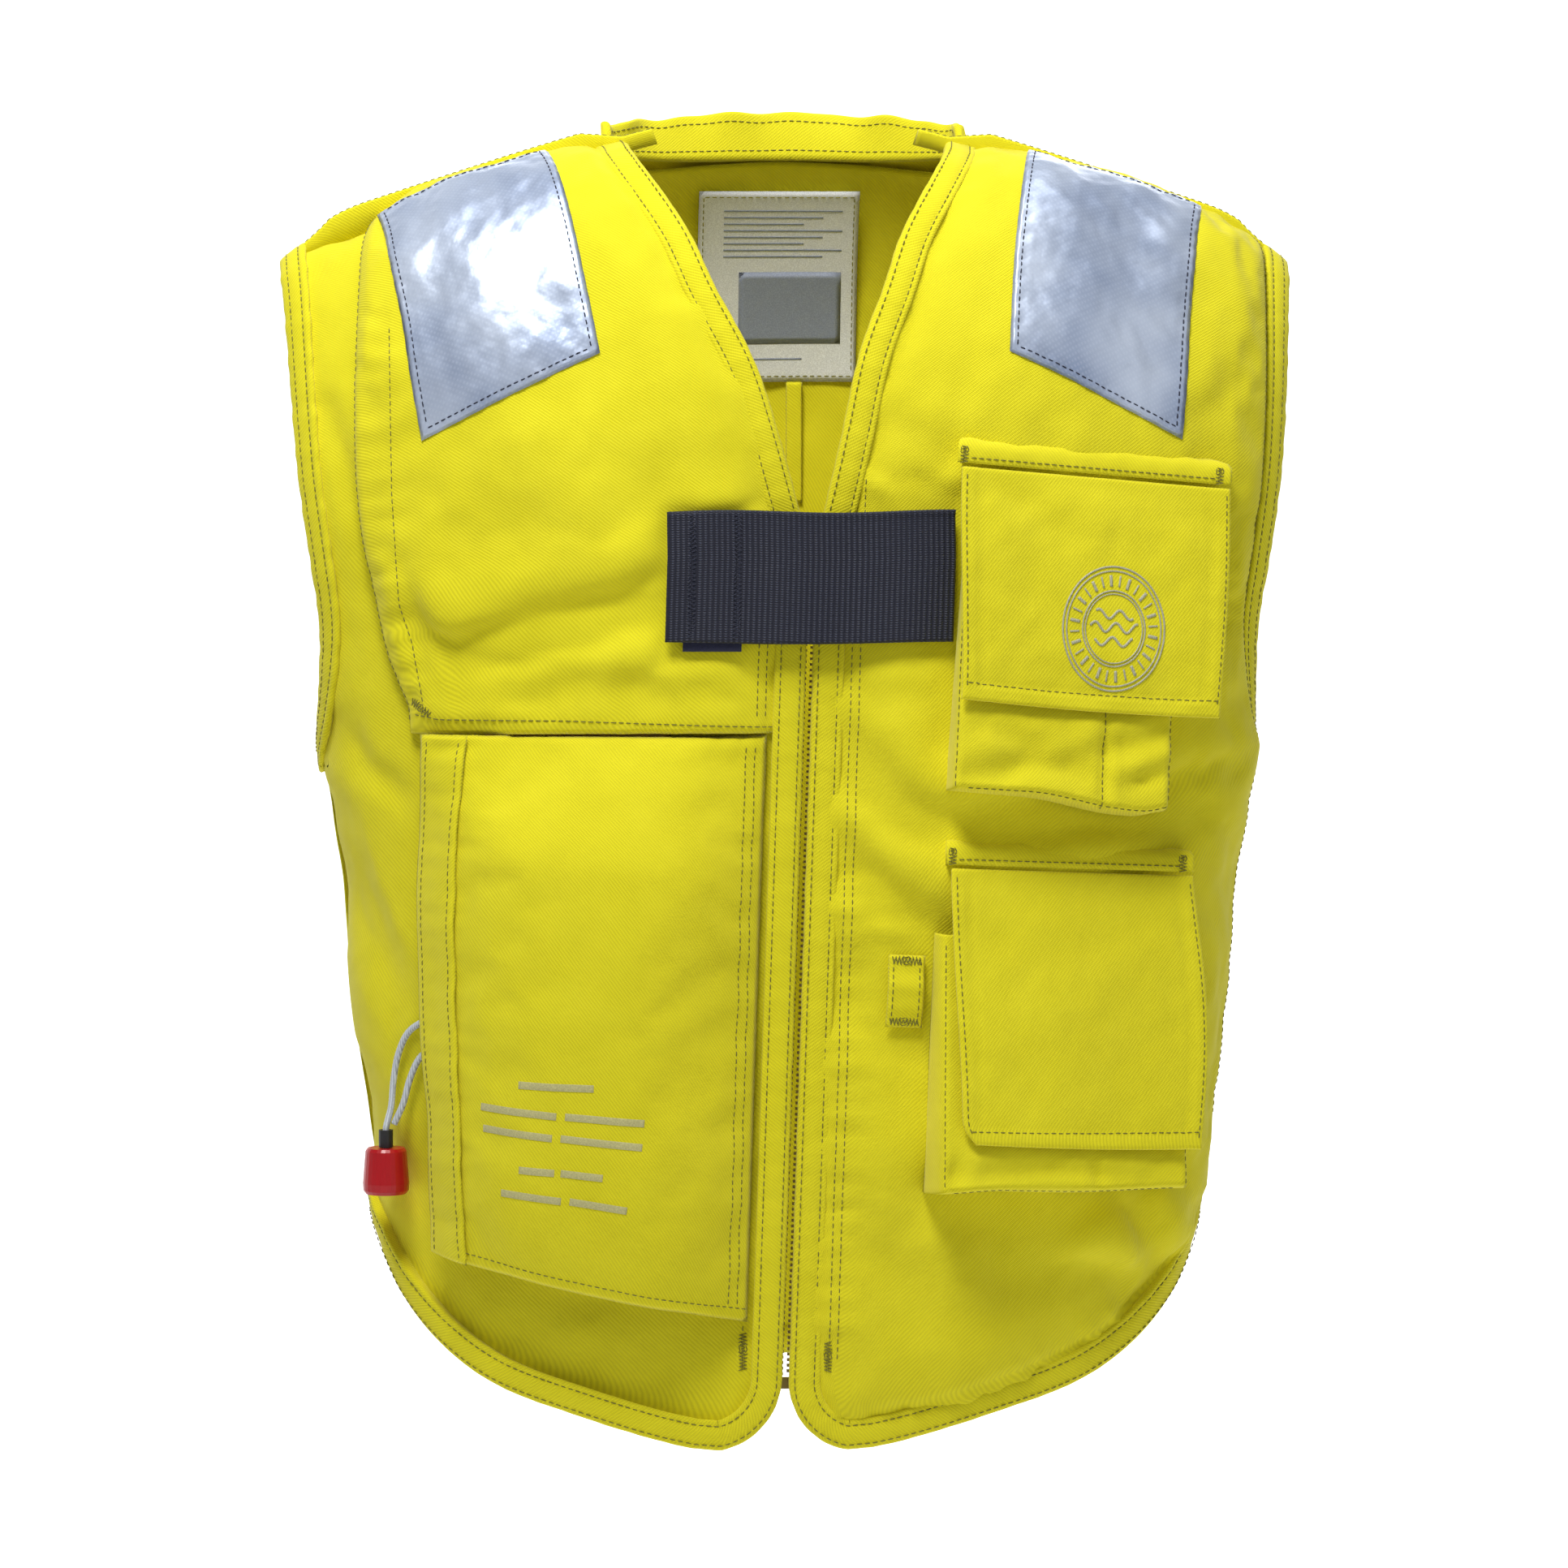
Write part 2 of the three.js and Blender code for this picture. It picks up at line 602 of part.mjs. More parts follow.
function roundedRect(width, height, radius) {
  const [w, h, r] = [width / 2, height / 2, radius];
  const outline = new THREE.Shape().moveTo(-w + r, -h).lineTo(w - r, -h);
  outline.absarc(w - r, -h + r, r, -Math.PI / 2, 0, false);
  outline.absarc(w - r, h - r, r, 0, Math.PI / 2, false);
  outline.absarc(-w + r, h - r, r, Math.PI / 2, Math.PI, false);
  outline.absarc(-w + r, -h + r, r, Math.PI, 1.5 * Math.PI, false);
  return outline;
}

function inflatorBody() {
  const { x, top, height, width, thick } = INFLATOR;
  const block = new THREE.ExtrudeGeometry(roundedRect(width, height, 5), {
    depth: thick, bevelEnabled: false, curveSegments: 4,
  })
    .rotateX(Math.PI / 2)
    .translate(x, inflatorY + thick / 2, top - height / 2);
  const stem = rodAt("y", 5, 6, x, inflatorY + thick / 2 + 0.6, -366, 16);
  const socket = rodAt("z", 6.4, 12, x, inflatorY, top - height + 3, 16);
  const pocket = rodAt("x", 6.6, 16, x + width / 2 - 2, inflatorY, top - 14, 16);
  const ears = [-1, 1].map((s) => boxAt(8, 2.2, 12, LEVER.pivotX + 1.6, inflatorY + s * 4.4, LEVER.pivotZ));
  const bore = rodAt("y", 1.7, 14, LEVER.pivotX, inflatorY, LEVER.pivotZ, 12);
  return cut(joined(block, stem, ...ears), socket, pocket, bore);
}

function co2Cylinder() {
  const { radius: r, length } = CYLINDER;
  const profile = [
    [0, 0], [r - 5, 0], [r - 1.2, 1.6], [r, 5], [r, length - 18], [r - 2, length - 12],
    [7.4, length - 6], [6, length - 4], [6, length + 4], [0, length + 4],
  ];
  return turned(profile).translate(INFLATOR.x, inflatorY, INFLATOR.top - INFLATOR.height - length - 1);
}

const cartridgeX = INFLATOR.x + INFLATOR.width / 2;
const waterCartridge = () => rodAt("x", 6, 11, cartridgeX - 4, inflatorY, INFLATOR.top - 14, 16);

function cartridgeCap() {
  const cap = turned([[0, 0], [8, 0], [8.4, 1], [8.4, 7], [7.6, 8.4], [0, 8.4]], 20).rotateY(Math.PI / 2);
  return cap.translate(cartridgeX + 1.8, inflatorY, INFLATOR.top - 14);
}

function inflatorLever() {
  const { pivotX, pivotZ, arm, rest } = LEVER;
  const hub = rodAt("y", 3.4, 5.4, 0, 0, 0, 16);
  const pin = rodAt("y", 1.4, 11, 0, 0, 0, 12);
  const blade = boxAt(arm - 2, 3.2, 4.6, -arm / 2, 0, 0);
  const eye = rodAt("y", 1.5, 8, -arm + 4, 0, 0, 12);
  return cut(joined(hub, pin, blade), eye)
    .rotateY(-radians(rest))
    .translate(pivotX, inflatorY, pivotZ);
}
const leverEye = new THREE.Vector3(
  LEVER.pivotX - (LEVER.arm - 4) * Math.cos(radians(LEVER.rest)),
  inflatorY,
  LEVER.pivotZ - (LEVER.arm - 4) * Math.sin(radians(LEVER.rest)),
);

const ORAL = { x: -46, bottom: -386, length: 84 };
const oralY = onFront(ORAL.x, -370, STACK + 7.4).y;
function oralTube() {
  const tube = rodAt("z", 4.8, ORAL.length, ORAL.x, oralY, ORAL.bottom - 0.5 - ORAL.length / 2, 16);
  return cut(tube, rodAt("z", 3.2, 40, ORAL.x, oralY, ORAL.bottom, 12));
}
function oralValveBody() {
  const ring = turned([[0, 0], [5.6, 0], [6.4, 2], [6.4, 17], [5.2, 20], [0, 20]], 20);
  const bore = turned([[0, 3], [3, 3], [3, 30], [0, 30]], 16);
  return cut(ring, bore).translate(ORAL.x, oralY, ORAL.bottom);
}
function oralValvePoppet() {
  return turned([[0, 7.5], [2.5, 7.5], [2.5, 18.5], [1.8, 19.5], [0, 19.5]], 16)
    .translate(ORAL.x, oralY, ORAL.bottom);
}
function oralValveCap() {
  const shell = turned([[0, 20.5], [6, 20.5], [6.4, 21.4], [6.4, 26], [5.4, 27], [0, 27]], 20);
  return shell.translate(ORAL.x, oralY, ORAL.bottom);
}

// ---------------------------------------------------------------- the lanyard and its toggle

const LANYARD = 3.2; // cord diameter
const toggleTop = onFront(-178, -464, 15.5);
const strand = (rows) => rows.map(([x, z, lift]) => onFront(x, z, lift));
const near = (point, x, y, z) => new THREE.Vector3(x, y, z).add(point);

const FRONT_STRAND = [
  near(leverEye, -1.6, -0.5, -4.9),
  near(leverEye, -2.4, -0.3, -16),
  ...strand([
    [-121, -387, 20], [-136, -394, 13], [-148, -396, 8], [-158, -398, 6], [-167, -401, 5.6],
    [-175, -407, 5.8], [-179, -417, 6.4], [-180.4, -430, 7.6], [-179.6, -442, 10.2],
  ]),
  near(toggleTop, 0, 0, 12),
  near(toggleTop, 0, 0, 5),
  near(toggleTop, 0, 0, -2),
];
const RETURN_STRAND = [
  near(leverEye, 3.2, -0.5, -5.8),
  near(leverEye, 2.6, -0.3, -20),
  ...strand([
    [-116, -397, 17], [-131, -405, 12], [-144, -408, 8], [-155, -410, 6], [-163, -413, 5.6],
    [-170, -419, 6], [-173.6, -429, 7.2], [-175, -440, 9.4],
  ]),
  near(toggleTop, 3.9, 0, 14.5),
];

function cordTube(points, steps) {
  const path = new THREE.CatmullRomCurve3(points);
  const section = new THREE.Shape();
  section.absarc(0, 0, LANYARD / 2, 0, 2 * Math.PI, false);
  return new THREE.ExtrudeGeometry(section, { steps, extrudePath: path, curveSegments: 4 });
}

function pullToggle() {
  const knob = turned([[0, 0], [9.4, 0], [10.6, 1.6], [10.8, 5], [9.6, 20], [8.6, 21.4], [0, 21.4]], 28);
  const hole = rodAt("z", 2.2, 12, 0, 0, 21.4, 12);
  return cut(knob, hole).translate(toggleTop.x, toggleTop.y, toggleTop.z - 18);
}

function lanyardSleeve() {
  const tube = rodAt("z", 3.4, 8, toggleTop.x, toggleTop.y, toggleTop.z + 7.8, 14);
  return cut(tube, rodAt("z", 2.4, 20, toggleTop.x, toggleTop.y, toggleTop.z + 8, 12));
}

// ---------------------------------------------------------------- inflator cover

// The cover stands off far enough for the gas cylinder, and its outer edge comes down to the lining.
const COVER_SWELL = 36;
const coverAcross = throughRows([
  [0, 0.02], [0.12, 0.52], [0.25, 0.85], [0.4, 0.99], [0.72, 1], [0.88, 0.68], [1, 0.26],
]);
const coverAlong = throughRows([[0, 0.16], [0.12, 0.62], [0.25, 0.96], [0.85, 1], [0.93, 0.9], [1, 0.66]]);
function coverLift(u, v) {
  const fastened = clamp(4 * u - 3, 0, 1); // the outer edge keeps its height up to the seam
  const rise = lerp(coverAlong(v), Math.max(coverAlong(v), 0.9), fastened);
  return lerp(COVER_EDGE, COVER_SWELL, coverAcross(u) * rise);
}
const coverEdgeX = throughRows([
  [-540, 158], [-510, 159], [-450, 161], [-419, 164], [-363, 167], [-267, 168],
]);
const COVER_BOTTOM = { inner: -539, outer: -508 };
const COVER_STEPS = { across: 14, along: 12 };

function coverPlace(u, v, lift) {
  const z = lerp(WAIST_SEAM - 1.6, lerp(COVER_BOTTOM.inner, COVER_BOTTOM.outer, u), v);
  return onFront(-lerp(FRONT_GAP + EDGE_ROOM + 0.8, coverEdgeX(z), u), z, lift);
}
// A band over whole steps of the cover's grid, at a distance from its inner face.
function onCover([u0, u1], [v0, v1], under, over) {
  const { across, along } = COVER_STEPS;
  const at = (u, v) => [lerp(u0, u1, u) / across, lerp(v0, v1, v) / along];
  const level = (distance) => (u, v) => coverLift(...at(u, v)) + distance;
  return sheet(u1 - u0, v1 - v0, (u, v, lift) => coverPlace(...at(u, v), lift), level(under), level(over));
}
const { across, along } = COVER_STEPS;
const inflatorCover = () => onCover([0, across], [0, along], 0, CLOTH);
const coverEdgeStrip = () => onCover([across - 2, across], [0, along], CLOTH + 1.5, CLOTH + 2.4);
const coverHookStrip = () => onCover([across - 2, across], [1, 5], -2.6, -1.5);

function coverLoopStrip() {
  const place = (u, v, lift) => coverPlace(lerp(0.86, 1, u), lerp(1 / along, 5 / along, v), lift);
  return sheet(2, 4, place, CLOTH + 0.6, CLOTH + 1.8);
}

// ---------------------------------------------------------------- chest tab and surface pieces

const TAB_UNDER = 15.2;
const onTab = (u, v, lift) => onFront(lerp(TAB.from, TAB.to, u), lerp(TAB.top, TAB.bottom, v), lift);
const chestTab = () => sheet(14, 3, onTab, TAB_UNDER, TAB_UNDER + 2);
const tabPatch = (under, over) =>
  sheet(3, 3, (u, v, lift) => onFront(lerp(-57, -31, u), lerp(-171, -229, v), lift), under, over);

// A reflective patch on the shoulder: its centre as (x, down), and how far it leans inwards.
function reflector(side, facing, x, down, under) {
  const [c, s] = [Math.cos(radians(8)), Math.sin(radians(8))];
  const grid = (u, v) => {
    const [a, b] = [(u - 0.5) * REFLECTOR.width, (v - 0.5) * REFLECTOR.height];
    const at = down + b * c + a * s;
    const angle = angleAt(x + a * c - b * s, at);
    return [side * (facing === "front" ? angle : 180 - angle), at];
  };
  return cloth(6, 8, grid, under, (a, d) => under(a, d) + 0.8);
}
const overRight = (a, d) => rightSwell(a, d) + CLOTH + 0.6;
const overLeft = (a, d) => leftSwell(a, d) + CLOTH + 0.6;
const overBack = (a, d) => backSwell(a, d) + CLOTH + 0.6;

const careLabel = () =>
  sheet(4, 8, (u, v, lift) => onBack(lerp(-39, 39, u), lerp(-14, -107, v), lift), -3, -2.3);

function shoulderStrip() {
  const grid = (u, v) => {
    const down = lerp(9, 34, v);
    return [180 - angleAt(lerp(136, 174, u), down), down];
  };
  return cloth(3, 3, grid, overBack, (a, d) => overBack(a, d) + 1.4);
}

// ---------------------------------------------------------------- pockets

// A pocket lies on a flat plane that stands off the curved chest, so that its flap has a straight hinge.
// Its own frame has +X along the hinge, +Z up the flap and +Y towards the chest.
function pocketFrame({ corner, turn, roll, tilt }) {
  const group = new THREE.Group();
  group.position.copy(corner);
  group.rotation.set(radians(-tilt), radians(roll), radians(turn), "ZYX");
  group.updateMatrix();
  return group;
}

const UPPER = {
  corner: new THREE.Vector3(73, -107.5, -145), turn: 12.5, roll: 5, tilt: 8,
  width: 132, flap: 108, mouth: -30, bottom: -150, left: 2, right: 112,
};
const LOWER = {
  corner: new THREE.Vector3(68, -107, -329), turn: 13, roll: 3, tilt: 9,
  width: 124, flap: 128, mouth: -30, bottom: -150, left: -4, right: 121,
};
const WALL = 1.5;

// The place on the chest cover straight behind a point of a pocket.
const behindPocket = (face, lift) => onFront(face.x * (1 - lift / 200), face.z, lift);

// The pouch between the chest and the pocket's plane, open at its mouth.
function pouch(pocket, chestLift) {
  const frame = pocketFrame(pocket);
  const span = (x0, x1, z0, z1, back, front) =>
    bent(new THREE.BoxGeometry(1, 1, 1, 8, 1, 6), (p) => {
      const flat = new THREE.Vector3(lerp(x0, x1, p.x + 0.5), 0, lerp(z0, z1, p.z + 0.5));
      const face = flat.clone().applyMatrix4(frame.matrix);
      const chest = behindPocket(face, chestLift);
      const across = face.clone().sub(chest);
      const length = across.length();
      return chest.addScaledVector(across.normalize(), p.y > 0 ? back : length - front);
    });
  const { left, right, mouth, bottom } = pocket;
  const outside = span(left, right, bottom, mouth, 0, 0);
  const inside = span(left + WALL, right - WALL, bottom + WALL, mouth + 12, WALL, WALL);
  return cut(outside, inside);
}

// The folded band that the flap hangs from, filling the space down to the chest.
function pocketHeader(pocket, chestLift) {
  const frame = pocketFrame(pocket);
  return bent(new THREE.BoxGeometry(1, 1, 1, 8, 1, 1), (p) => {
    const flat = new THREE.Vector3((p.x + 0.5) * pocket.width, -5.2, 1.2 + (p.z + 0.5) * 10);
    const face = flat.applyMatrix4(frame.matrix);
    return p.y > 0 ? behindPocket(face, chestLift) : face;
  });
}

function flapPlate(pocket) {
  return boxAt(pocket.width, 2.4, pocket.flap, pocket.width / 2, -4, -pocket.flap / 2 + 0.2);
}
const fastening = (pocket, y) =>
  boxAt(pocket.width * 0.5, 0.9, 20, pocket.width * 0.5, y, -pocket.flap + 22);

function inPocketFrame(pocket, ...meshes) {
  const frame = pocketFrame(pocket);
  frame.add(...meshes);
  return frame;
}

function badge() {
  const disc = new THREE.CylinderGeometry(1, 1, 0.8, 28);
  return disc.scale(25, 1, 29).translate(76, -5.9, -69);
}

function toolLoop() {
  const frame = pocketFrame(LOWER);
  return bent(new THREE.BoxGeometry(1, 1, 1, 2, 1, 3), (p) => {
    const face = new THREE.Vector3(-20 + p.x * 17, 0, -58 + p.z * 34).applyMatrix4(frame.matrix);
    return onFront(face.x, face.z, p.y > 0 ? 13.6 : 16.4);
  });
}

// ---------------------------------------------------------------- the object

const jacket = new THREE.Group();
const { twill, lining } = MATERIAL;

jacket.add(
  node("back_panel", backPanel(), lining),
  node("back_yoke", backYoke(), twill),
  node("right_front_panel", frontLining(-1), lining),
  node("left_front_panel", frontLining(1), lining),
  node("right_chest_cover", rightChestCover(), twill),
  node("left_chest_cover", leftChestCover(), twill),
  node("right_front_binding", frontBinding(-1), twill),
  node("left_front_binding", frontBinding(1), twill),
  node("back_hem_binding", backHemBinding(), twill),
  node("right_armhole_binding", armholeBinding(-1), twill),
  node("left_armhole_binding", armholeBinding(1), twill),
  node("collar_band", collarBand(), twill),
);

for (const [name, side] of [["right", -1], ["left", 1]]) {
  const overChest = side < 0 ? overRight : overLeft;
  jacket.add(
    node(`${name}_zip_tape`, zipTape(side), twill),
    node(`${name}_zip_chain`, zipChain(side), MATERIAL.zipMetal),
    node(`${name}_reflector`, reflector(side, "front", 140, 88, overChest), MATERIAL.silver),
    node(`${name}_back_reflector`, reflector(side, "back", 124, 99, overBack), MATERIAL.silver),
  );
}
jacket.add(
  node("zip_bottom_stop", leaning(boxAt(7.4, 3.4, 5, 0, CHAIN.y, ZIP_BOTTOM - 3)), MATERIAL.zipMetal),
  node("zip_slider", zipSlider(), MATERIAL.zipMetal),
  node("zip_pull", zipPull(), MATERIAL.zipMetal),
);

jacket.add(
  node("chest_tab", chestTab(), MATERIAL.navyWeb),
  node("tab_hook_patch", tabPatch(14, 14.8), MATERIAL.navyCloth),
  node("tab_loop_patch", tabPatch(13.0, 13.6), MATERIAL.navyCloth),
  node("care_label", careLabel(), MATERIAL.label),
  node("shoulder_strip", shoulderStrip(), MATERIAL.navyCloth),
);

jacket.add(
  node("bladder", bladder(), MATERIAL.bladder),
  node("inflator_flange", inflatorFlange(), MATERIAL.blackPlastic),
  node("inflator_body", inflatorBody(), MATERIAL.blackPlastic),
  node("co2_cylinder", co2Cylinder(), MATERIAL.steel),
  node("water_cartridge", waterCartridge(), MATERIAL.label),
  node("cartridge_cap", cartridgeCap(), MATERIAL.yellowPlastic),
  node("inflator_lever", inflatorLever(), MATERIAL.redPlastic),
  node("oral_tube", oralTube(), MATERIAL.tube),
  node("oral_valve_body", oralValveBody(), MATERIAL.blackPlastic),
  node("oral_valve_poppet", oralValvePoppet(), MATERIAL.redPlastic),
  node("oral_valve_cap", oralValveCap(), MATERIAL.redPlastic),
);

jacket.add(
  node("lanyard_front_strand", cordTube(FRONT_STRAND, 30), MATERIAL.cord),
  node("lanyard_return_strand", cordTube(RETURN_STRAND, 24), MATERIAL.cord),
  node("lanyard_sleeve", lanyardSleeve(), MATERIAL.blackPlastic),
  node("pull_toggle", pullToggle(), MATERIAL.redPlastic),
);

jacket.add(
  node("inflator_cover", inflatorCover(), twill),
  node("cover_edge_strip", coverEdgeStrip(), twill),
  node("cover_hook_strip", coverHookStrip(), MATERIAL.hook),
  node("cover_loop_strip", coverLoopStrip(), MATERIAL.hook),
);

const CHEST = COVER_LIFT + CLOTH + 0.8;
jacket.add(
  node("upper_pouch", pouch(UPPER, CHEST), twill),
  node("upper_flap_header", pocketHeader(UPPER, CHEST), twill),
  node("lower_pouch", pouch(LOWER, CHEST), twill),
  node("lower_flap_header", pocketHeader(LOWER, CHEST), twill),
  node("tool_loop", toolLoop(), twill),
  inPocketFrame(
    UPPER,
    node("upper_flap", flapPlate(UPPER), twill),
    node("upper_flap_badge", badge(), MATERIAL.thread),
    node("upper_flap_hook_strip", fastening(UPPER, -2.1), MATERIAL.hook),
    node("upper_pouch_loop_strip", fastening(UPPER, -0.8), MATERIAL.hook),
  ),
  inPocketFrame(
    LOWER,
    node("lower_flap", flapPlate(LOWER), twill),
    node("lower_flap_hook_strip", fastening(LOWER, -2.1), MATERIAL.hook),
    node("lower_pouch_loop_strip", fastening(LOWER, -0.8), MATERIAL.hook),
  ),
);

export default jacket;
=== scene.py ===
"""The looks of the inflatable life jacket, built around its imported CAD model.

Lengths are in millimetres until a mesh is made, in the row frame: +Z up, the front faces -Y and
+X is towards the wearer's left hand.
"""
import math

import bpy
import numpy as np
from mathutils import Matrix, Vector, noise


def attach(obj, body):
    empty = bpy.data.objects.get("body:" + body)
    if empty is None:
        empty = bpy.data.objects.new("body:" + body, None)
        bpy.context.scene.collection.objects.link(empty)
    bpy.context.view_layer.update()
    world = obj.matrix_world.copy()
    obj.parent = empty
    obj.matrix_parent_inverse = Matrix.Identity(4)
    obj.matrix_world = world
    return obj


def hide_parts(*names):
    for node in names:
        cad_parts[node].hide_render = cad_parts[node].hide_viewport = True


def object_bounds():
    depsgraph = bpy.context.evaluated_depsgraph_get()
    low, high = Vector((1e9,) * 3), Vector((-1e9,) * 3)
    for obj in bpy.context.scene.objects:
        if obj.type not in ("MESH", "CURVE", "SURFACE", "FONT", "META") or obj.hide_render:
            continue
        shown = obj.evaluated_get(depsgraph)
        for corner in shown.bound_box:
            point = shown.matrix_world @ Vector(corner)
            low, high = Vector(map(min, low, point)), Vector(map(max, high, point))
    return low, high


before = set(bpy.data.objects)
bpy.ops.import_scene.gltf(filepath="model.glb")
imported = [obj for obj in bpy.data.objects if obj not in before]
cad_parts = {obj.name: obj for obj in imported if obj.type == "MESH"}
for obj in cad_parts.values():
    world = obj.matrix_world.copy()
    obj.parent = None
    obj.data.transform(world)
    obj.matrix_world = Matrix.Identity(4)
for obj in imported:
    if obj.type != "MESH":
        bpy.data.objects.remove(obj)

cad_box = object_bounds()
scene = bpy.context.scene
MM = 0.001
SIDES = ((-1, "right"), (1, "left"))

# ---------------------------------------------------------------- camera, light and floor


def look_at(obj, target):
    obj.rotation_euler = (Vector(target) - obj.location).to_track_quat("-Z", "Y").to_euler()


AIM = Vector((-0.0059, -0.100, -0.290))
AZIMUTH, ELEVATION, DISTANCE = math.radians(-3), math.radians(4), 2.9
FRAME_WIDTH = 0.7187

camera = bpy.data.objects.new("camera", bpy.data.cameras.new("camera"))
scene.collection.objects.link(camera)
camera.location = AIM + DISTANCE * Vector((
    math.sin(AZIMUTH) * math.cos(ELEVATION),
    -math.cos(AZIMUTH) * math.cos(ELEVATION),
    math.sin(ELEVATION),
))
look_at(camera, AIM)
camera.data.sensor_width = 36
camera.data.lens = 36 * DISTANCE / FRAME_WIDTH
scene.camera = camera
scene.view_settings.view_transform = "Standard"


def softbox(name, place, target, size, power, colour):
    """A rectangular area light of a power in watts, aimed at a target."""
    data = bpy.data.lights.new(name, "AREA")
    data.shape = "RECTANGLE"
    data.size, data.size_y = size
    data.energy = power
    data.color = colour
    lamp = bpy.data.objects.new(name, data)
    scene.collection.objects.link(lamp)
    lamp.location = place
    look_at(lamp, target)


softbox("key", (-0.3, -0.8, 1.0), (0, -0.1, -0.03), (0.5, 0.4), 18.5, (1.0, 0.99, 0.97))
softbox("fill", (1.9, -1.9, 0.6), (0, 0, -0.1), (1.5, 1.5), 4, (0.97, 0.98, 1.0))
softbox("top", (0.1, -0.2, 1.8), (0, 0, -0.1), (1.4, 0.9), 13, (1.0, 1.0, 1.0))
softbox("behind", (0.4, 2.3, 0.9), (0, 0, -0.3), (1.6, 1.2), 10, (1.0, 1.0, 1.0))

world = bpy.data.worlds.new("studio")
scene.world = world
world.use_nodes = True
world.node_tree.nodes["Background"].inputs[0].default_value = (0.97, 0.98, 1.0, 1)
world.node_tree.nodes["Background"].inputs[1].default_value = 0.16

# ---------------------------------------------------------------- the torso form

NECK_HALF, SHOULDER_SLOPE, RIDGE_ROUNDING = 74, 0.35, 60
YOKE_DROP, YOKE_LENGTH, YOKE_EASE, YOKE_FULLNESS = 150, 192, 1.12, 0.85
FRONT_DEPTH, BACK_DEPTH, SQUARENESS = 92, 94, 0.7
FRONT_GAP, FRONT_CORNER, BINDING_WIDTH, CLOTH = 1.5, 34, 14.5, 2.4
STITCH_IN = 2.9  # a binding's stitches from its inner edge
ZIP_TOP, ZIP_BOTTOM, WAIST_SEAM, ARMHOLE_BOTTOM = -186, -566, -266, 278
LOW_LEAN, ZIP_SLANT = -5, 12.5 / 380
BACK_NECK_HALF, BACK_NECK_DOWN = 84, 62
EDGE_LIFT, PADDED_LIFT = 3.6, 10.2  # a cover's lift at its edges and over the bladder


def through_rows(rows):
    """A smooth curve through (place, value) rows, flat past its ends."""
    x, y = np.array(sorted(rows), float).T
    last = len(x) - 1
    low, high = np.maximum(np.arange(last + 1) - 1, 0), np.minimum(np.arange(last + 1) + 1, last)
    slope = (y[high] - y[low]) / (x[high] - x[low])

    def value(at):
        at = np.clip(np.asarray(at, float), x[0], x[last])
        i = np.clip(np.searchsorted(x, at, side="right") - 1, 0, last - 1)
        span = x[i + 1] - x[i]
        t = (at - x[i]) / span
        return (
            (2 * t**3 - 3 * t**2 + 1) * y[i] + (t**3 - 2 * t**2 + t) * span * slope[i]
            + (3 * t**2 - 2 * t**3) * y[i + 1] + (t**3 - t**2) * span * slope[i + 1]
        )

    return value


half_width = through_rows([
    (0, 231), (60, 240), (150, 238), (220, 223), (290, 215),
    (345, 207), (400, 203), (480, 193), (560, 185), (700, 182),
])
neckline = through_rows([(0, 74), (-36, 50), (-64, 38), (-95, 24), (-129, 14.5), (-155, 8), (-180, 1.5)])
hem_z = through_rows([
    (0, -600), (12, -599), (33, -583), (48, -570), (61, -552), (72, -532),
    (82, -508), (90, -497), (100, -505), (120, -540), (150, -575), (180, -585),
])
armhole = through_rows([(0, 88), (20, 80), (60, 73), (140, 70), (210, 72), (255, 79), (278, 88)])
upper_lean = through_rows([(-186, 7.5), (-120, 6), (-60, 2), (-10, 0)])


def zip_lean(z):
    """How far the straight line of the zip stands off the middle, to +X."""
    return LOW_LEAN + ZIP_SLANT * (z - ZIP_BOTTOM)


def lean(z):
    """How far the front opening stands off the middle, to +X."""
    return np.where(z < ZIP_TOP, zip_lean(z), upper_lean(z))


def ridge(x):
    """Height of the shoulder line, falling away from the neck on both sides."""
    return SHOULDER_SLOPE * (math.hypot(NECK_HALF, RIDGE_ROUNDING) - np.hypot(x, RIDGE_ROUNDING))


def form_point(angle, down):
    """The torso form at an angle in degrees from the centre front, and a cloth length down."""
    a, down = np.broadcast_arrays(np.radians(angle), np.asarray(down, float))
    x = half_width(down) * np.sin(a)
    turn = np.clip(down / YOKE_LENGTH, 0, 1) ** YOKE_EASE * np.pi / 2
    facing = np.cos(a)
    depth = np.where(facing >= 0, -FRONT_DEPTH, BACK_DEPTH)
    y = depth * np.abs(facing) ** SQUARENESS * np.sin(turn) ** YOKE_FULLNESS
    z = ridge(x) - YOKE_DROP * (1 - np.cos(turn)) - np.maximum(0, down - YOKE_LENGTH)
    return np.stack([x + lean(z) * np.maximum(0, facing) ** 2, y, z], -1)


def unit(v):
    return v / np.maximum(np.linalg.norm(v, axis=-1, keepdims=True), 1e-9)


def form_normal(angle, down):
    """The way out of the torso form."""
    d = np.maximum(down, 1.0)
    along = form_point(angle + 0.06, d) - form_point(angle - 0.06, d)
    downwards = form_point(angle, d + 0.5) - form_point(angle, d - 0.5)
    n = unit(np.cross(along, downwards))
    p = form_point(angle, d)
    out = np.stack([p[..., 0], p[..., 1], np.maximum(0, p[..., 2] + YOKE_DROP)], -1)
    return n * np.where(np.sum(n * out, -1, keepdims=True) < 0, -1, 1)


def lay(angle, down, lift):
    """Points lifted off the torso form."""
    return form_point(angle, down) + form_normal(angle, down) * np.asarray(lift, float)[..., None]


def down_of(drop):
    """The cloth length down that drops this far below the shoulder line."""
    drop = np.asarray(drop, float)
    turn = np.arccos(1 - np.clip(drop, 0, YOKE_DROP) / YOKE_DROP)
    curved = YOKE_LENGTH * (2 * turn / np.pi) ** (1 / YOKE_EASE)
    return np.where(drop >= YOKE_DROP, YOKE_LENGTH + drop - YOKE_DROP, curved)


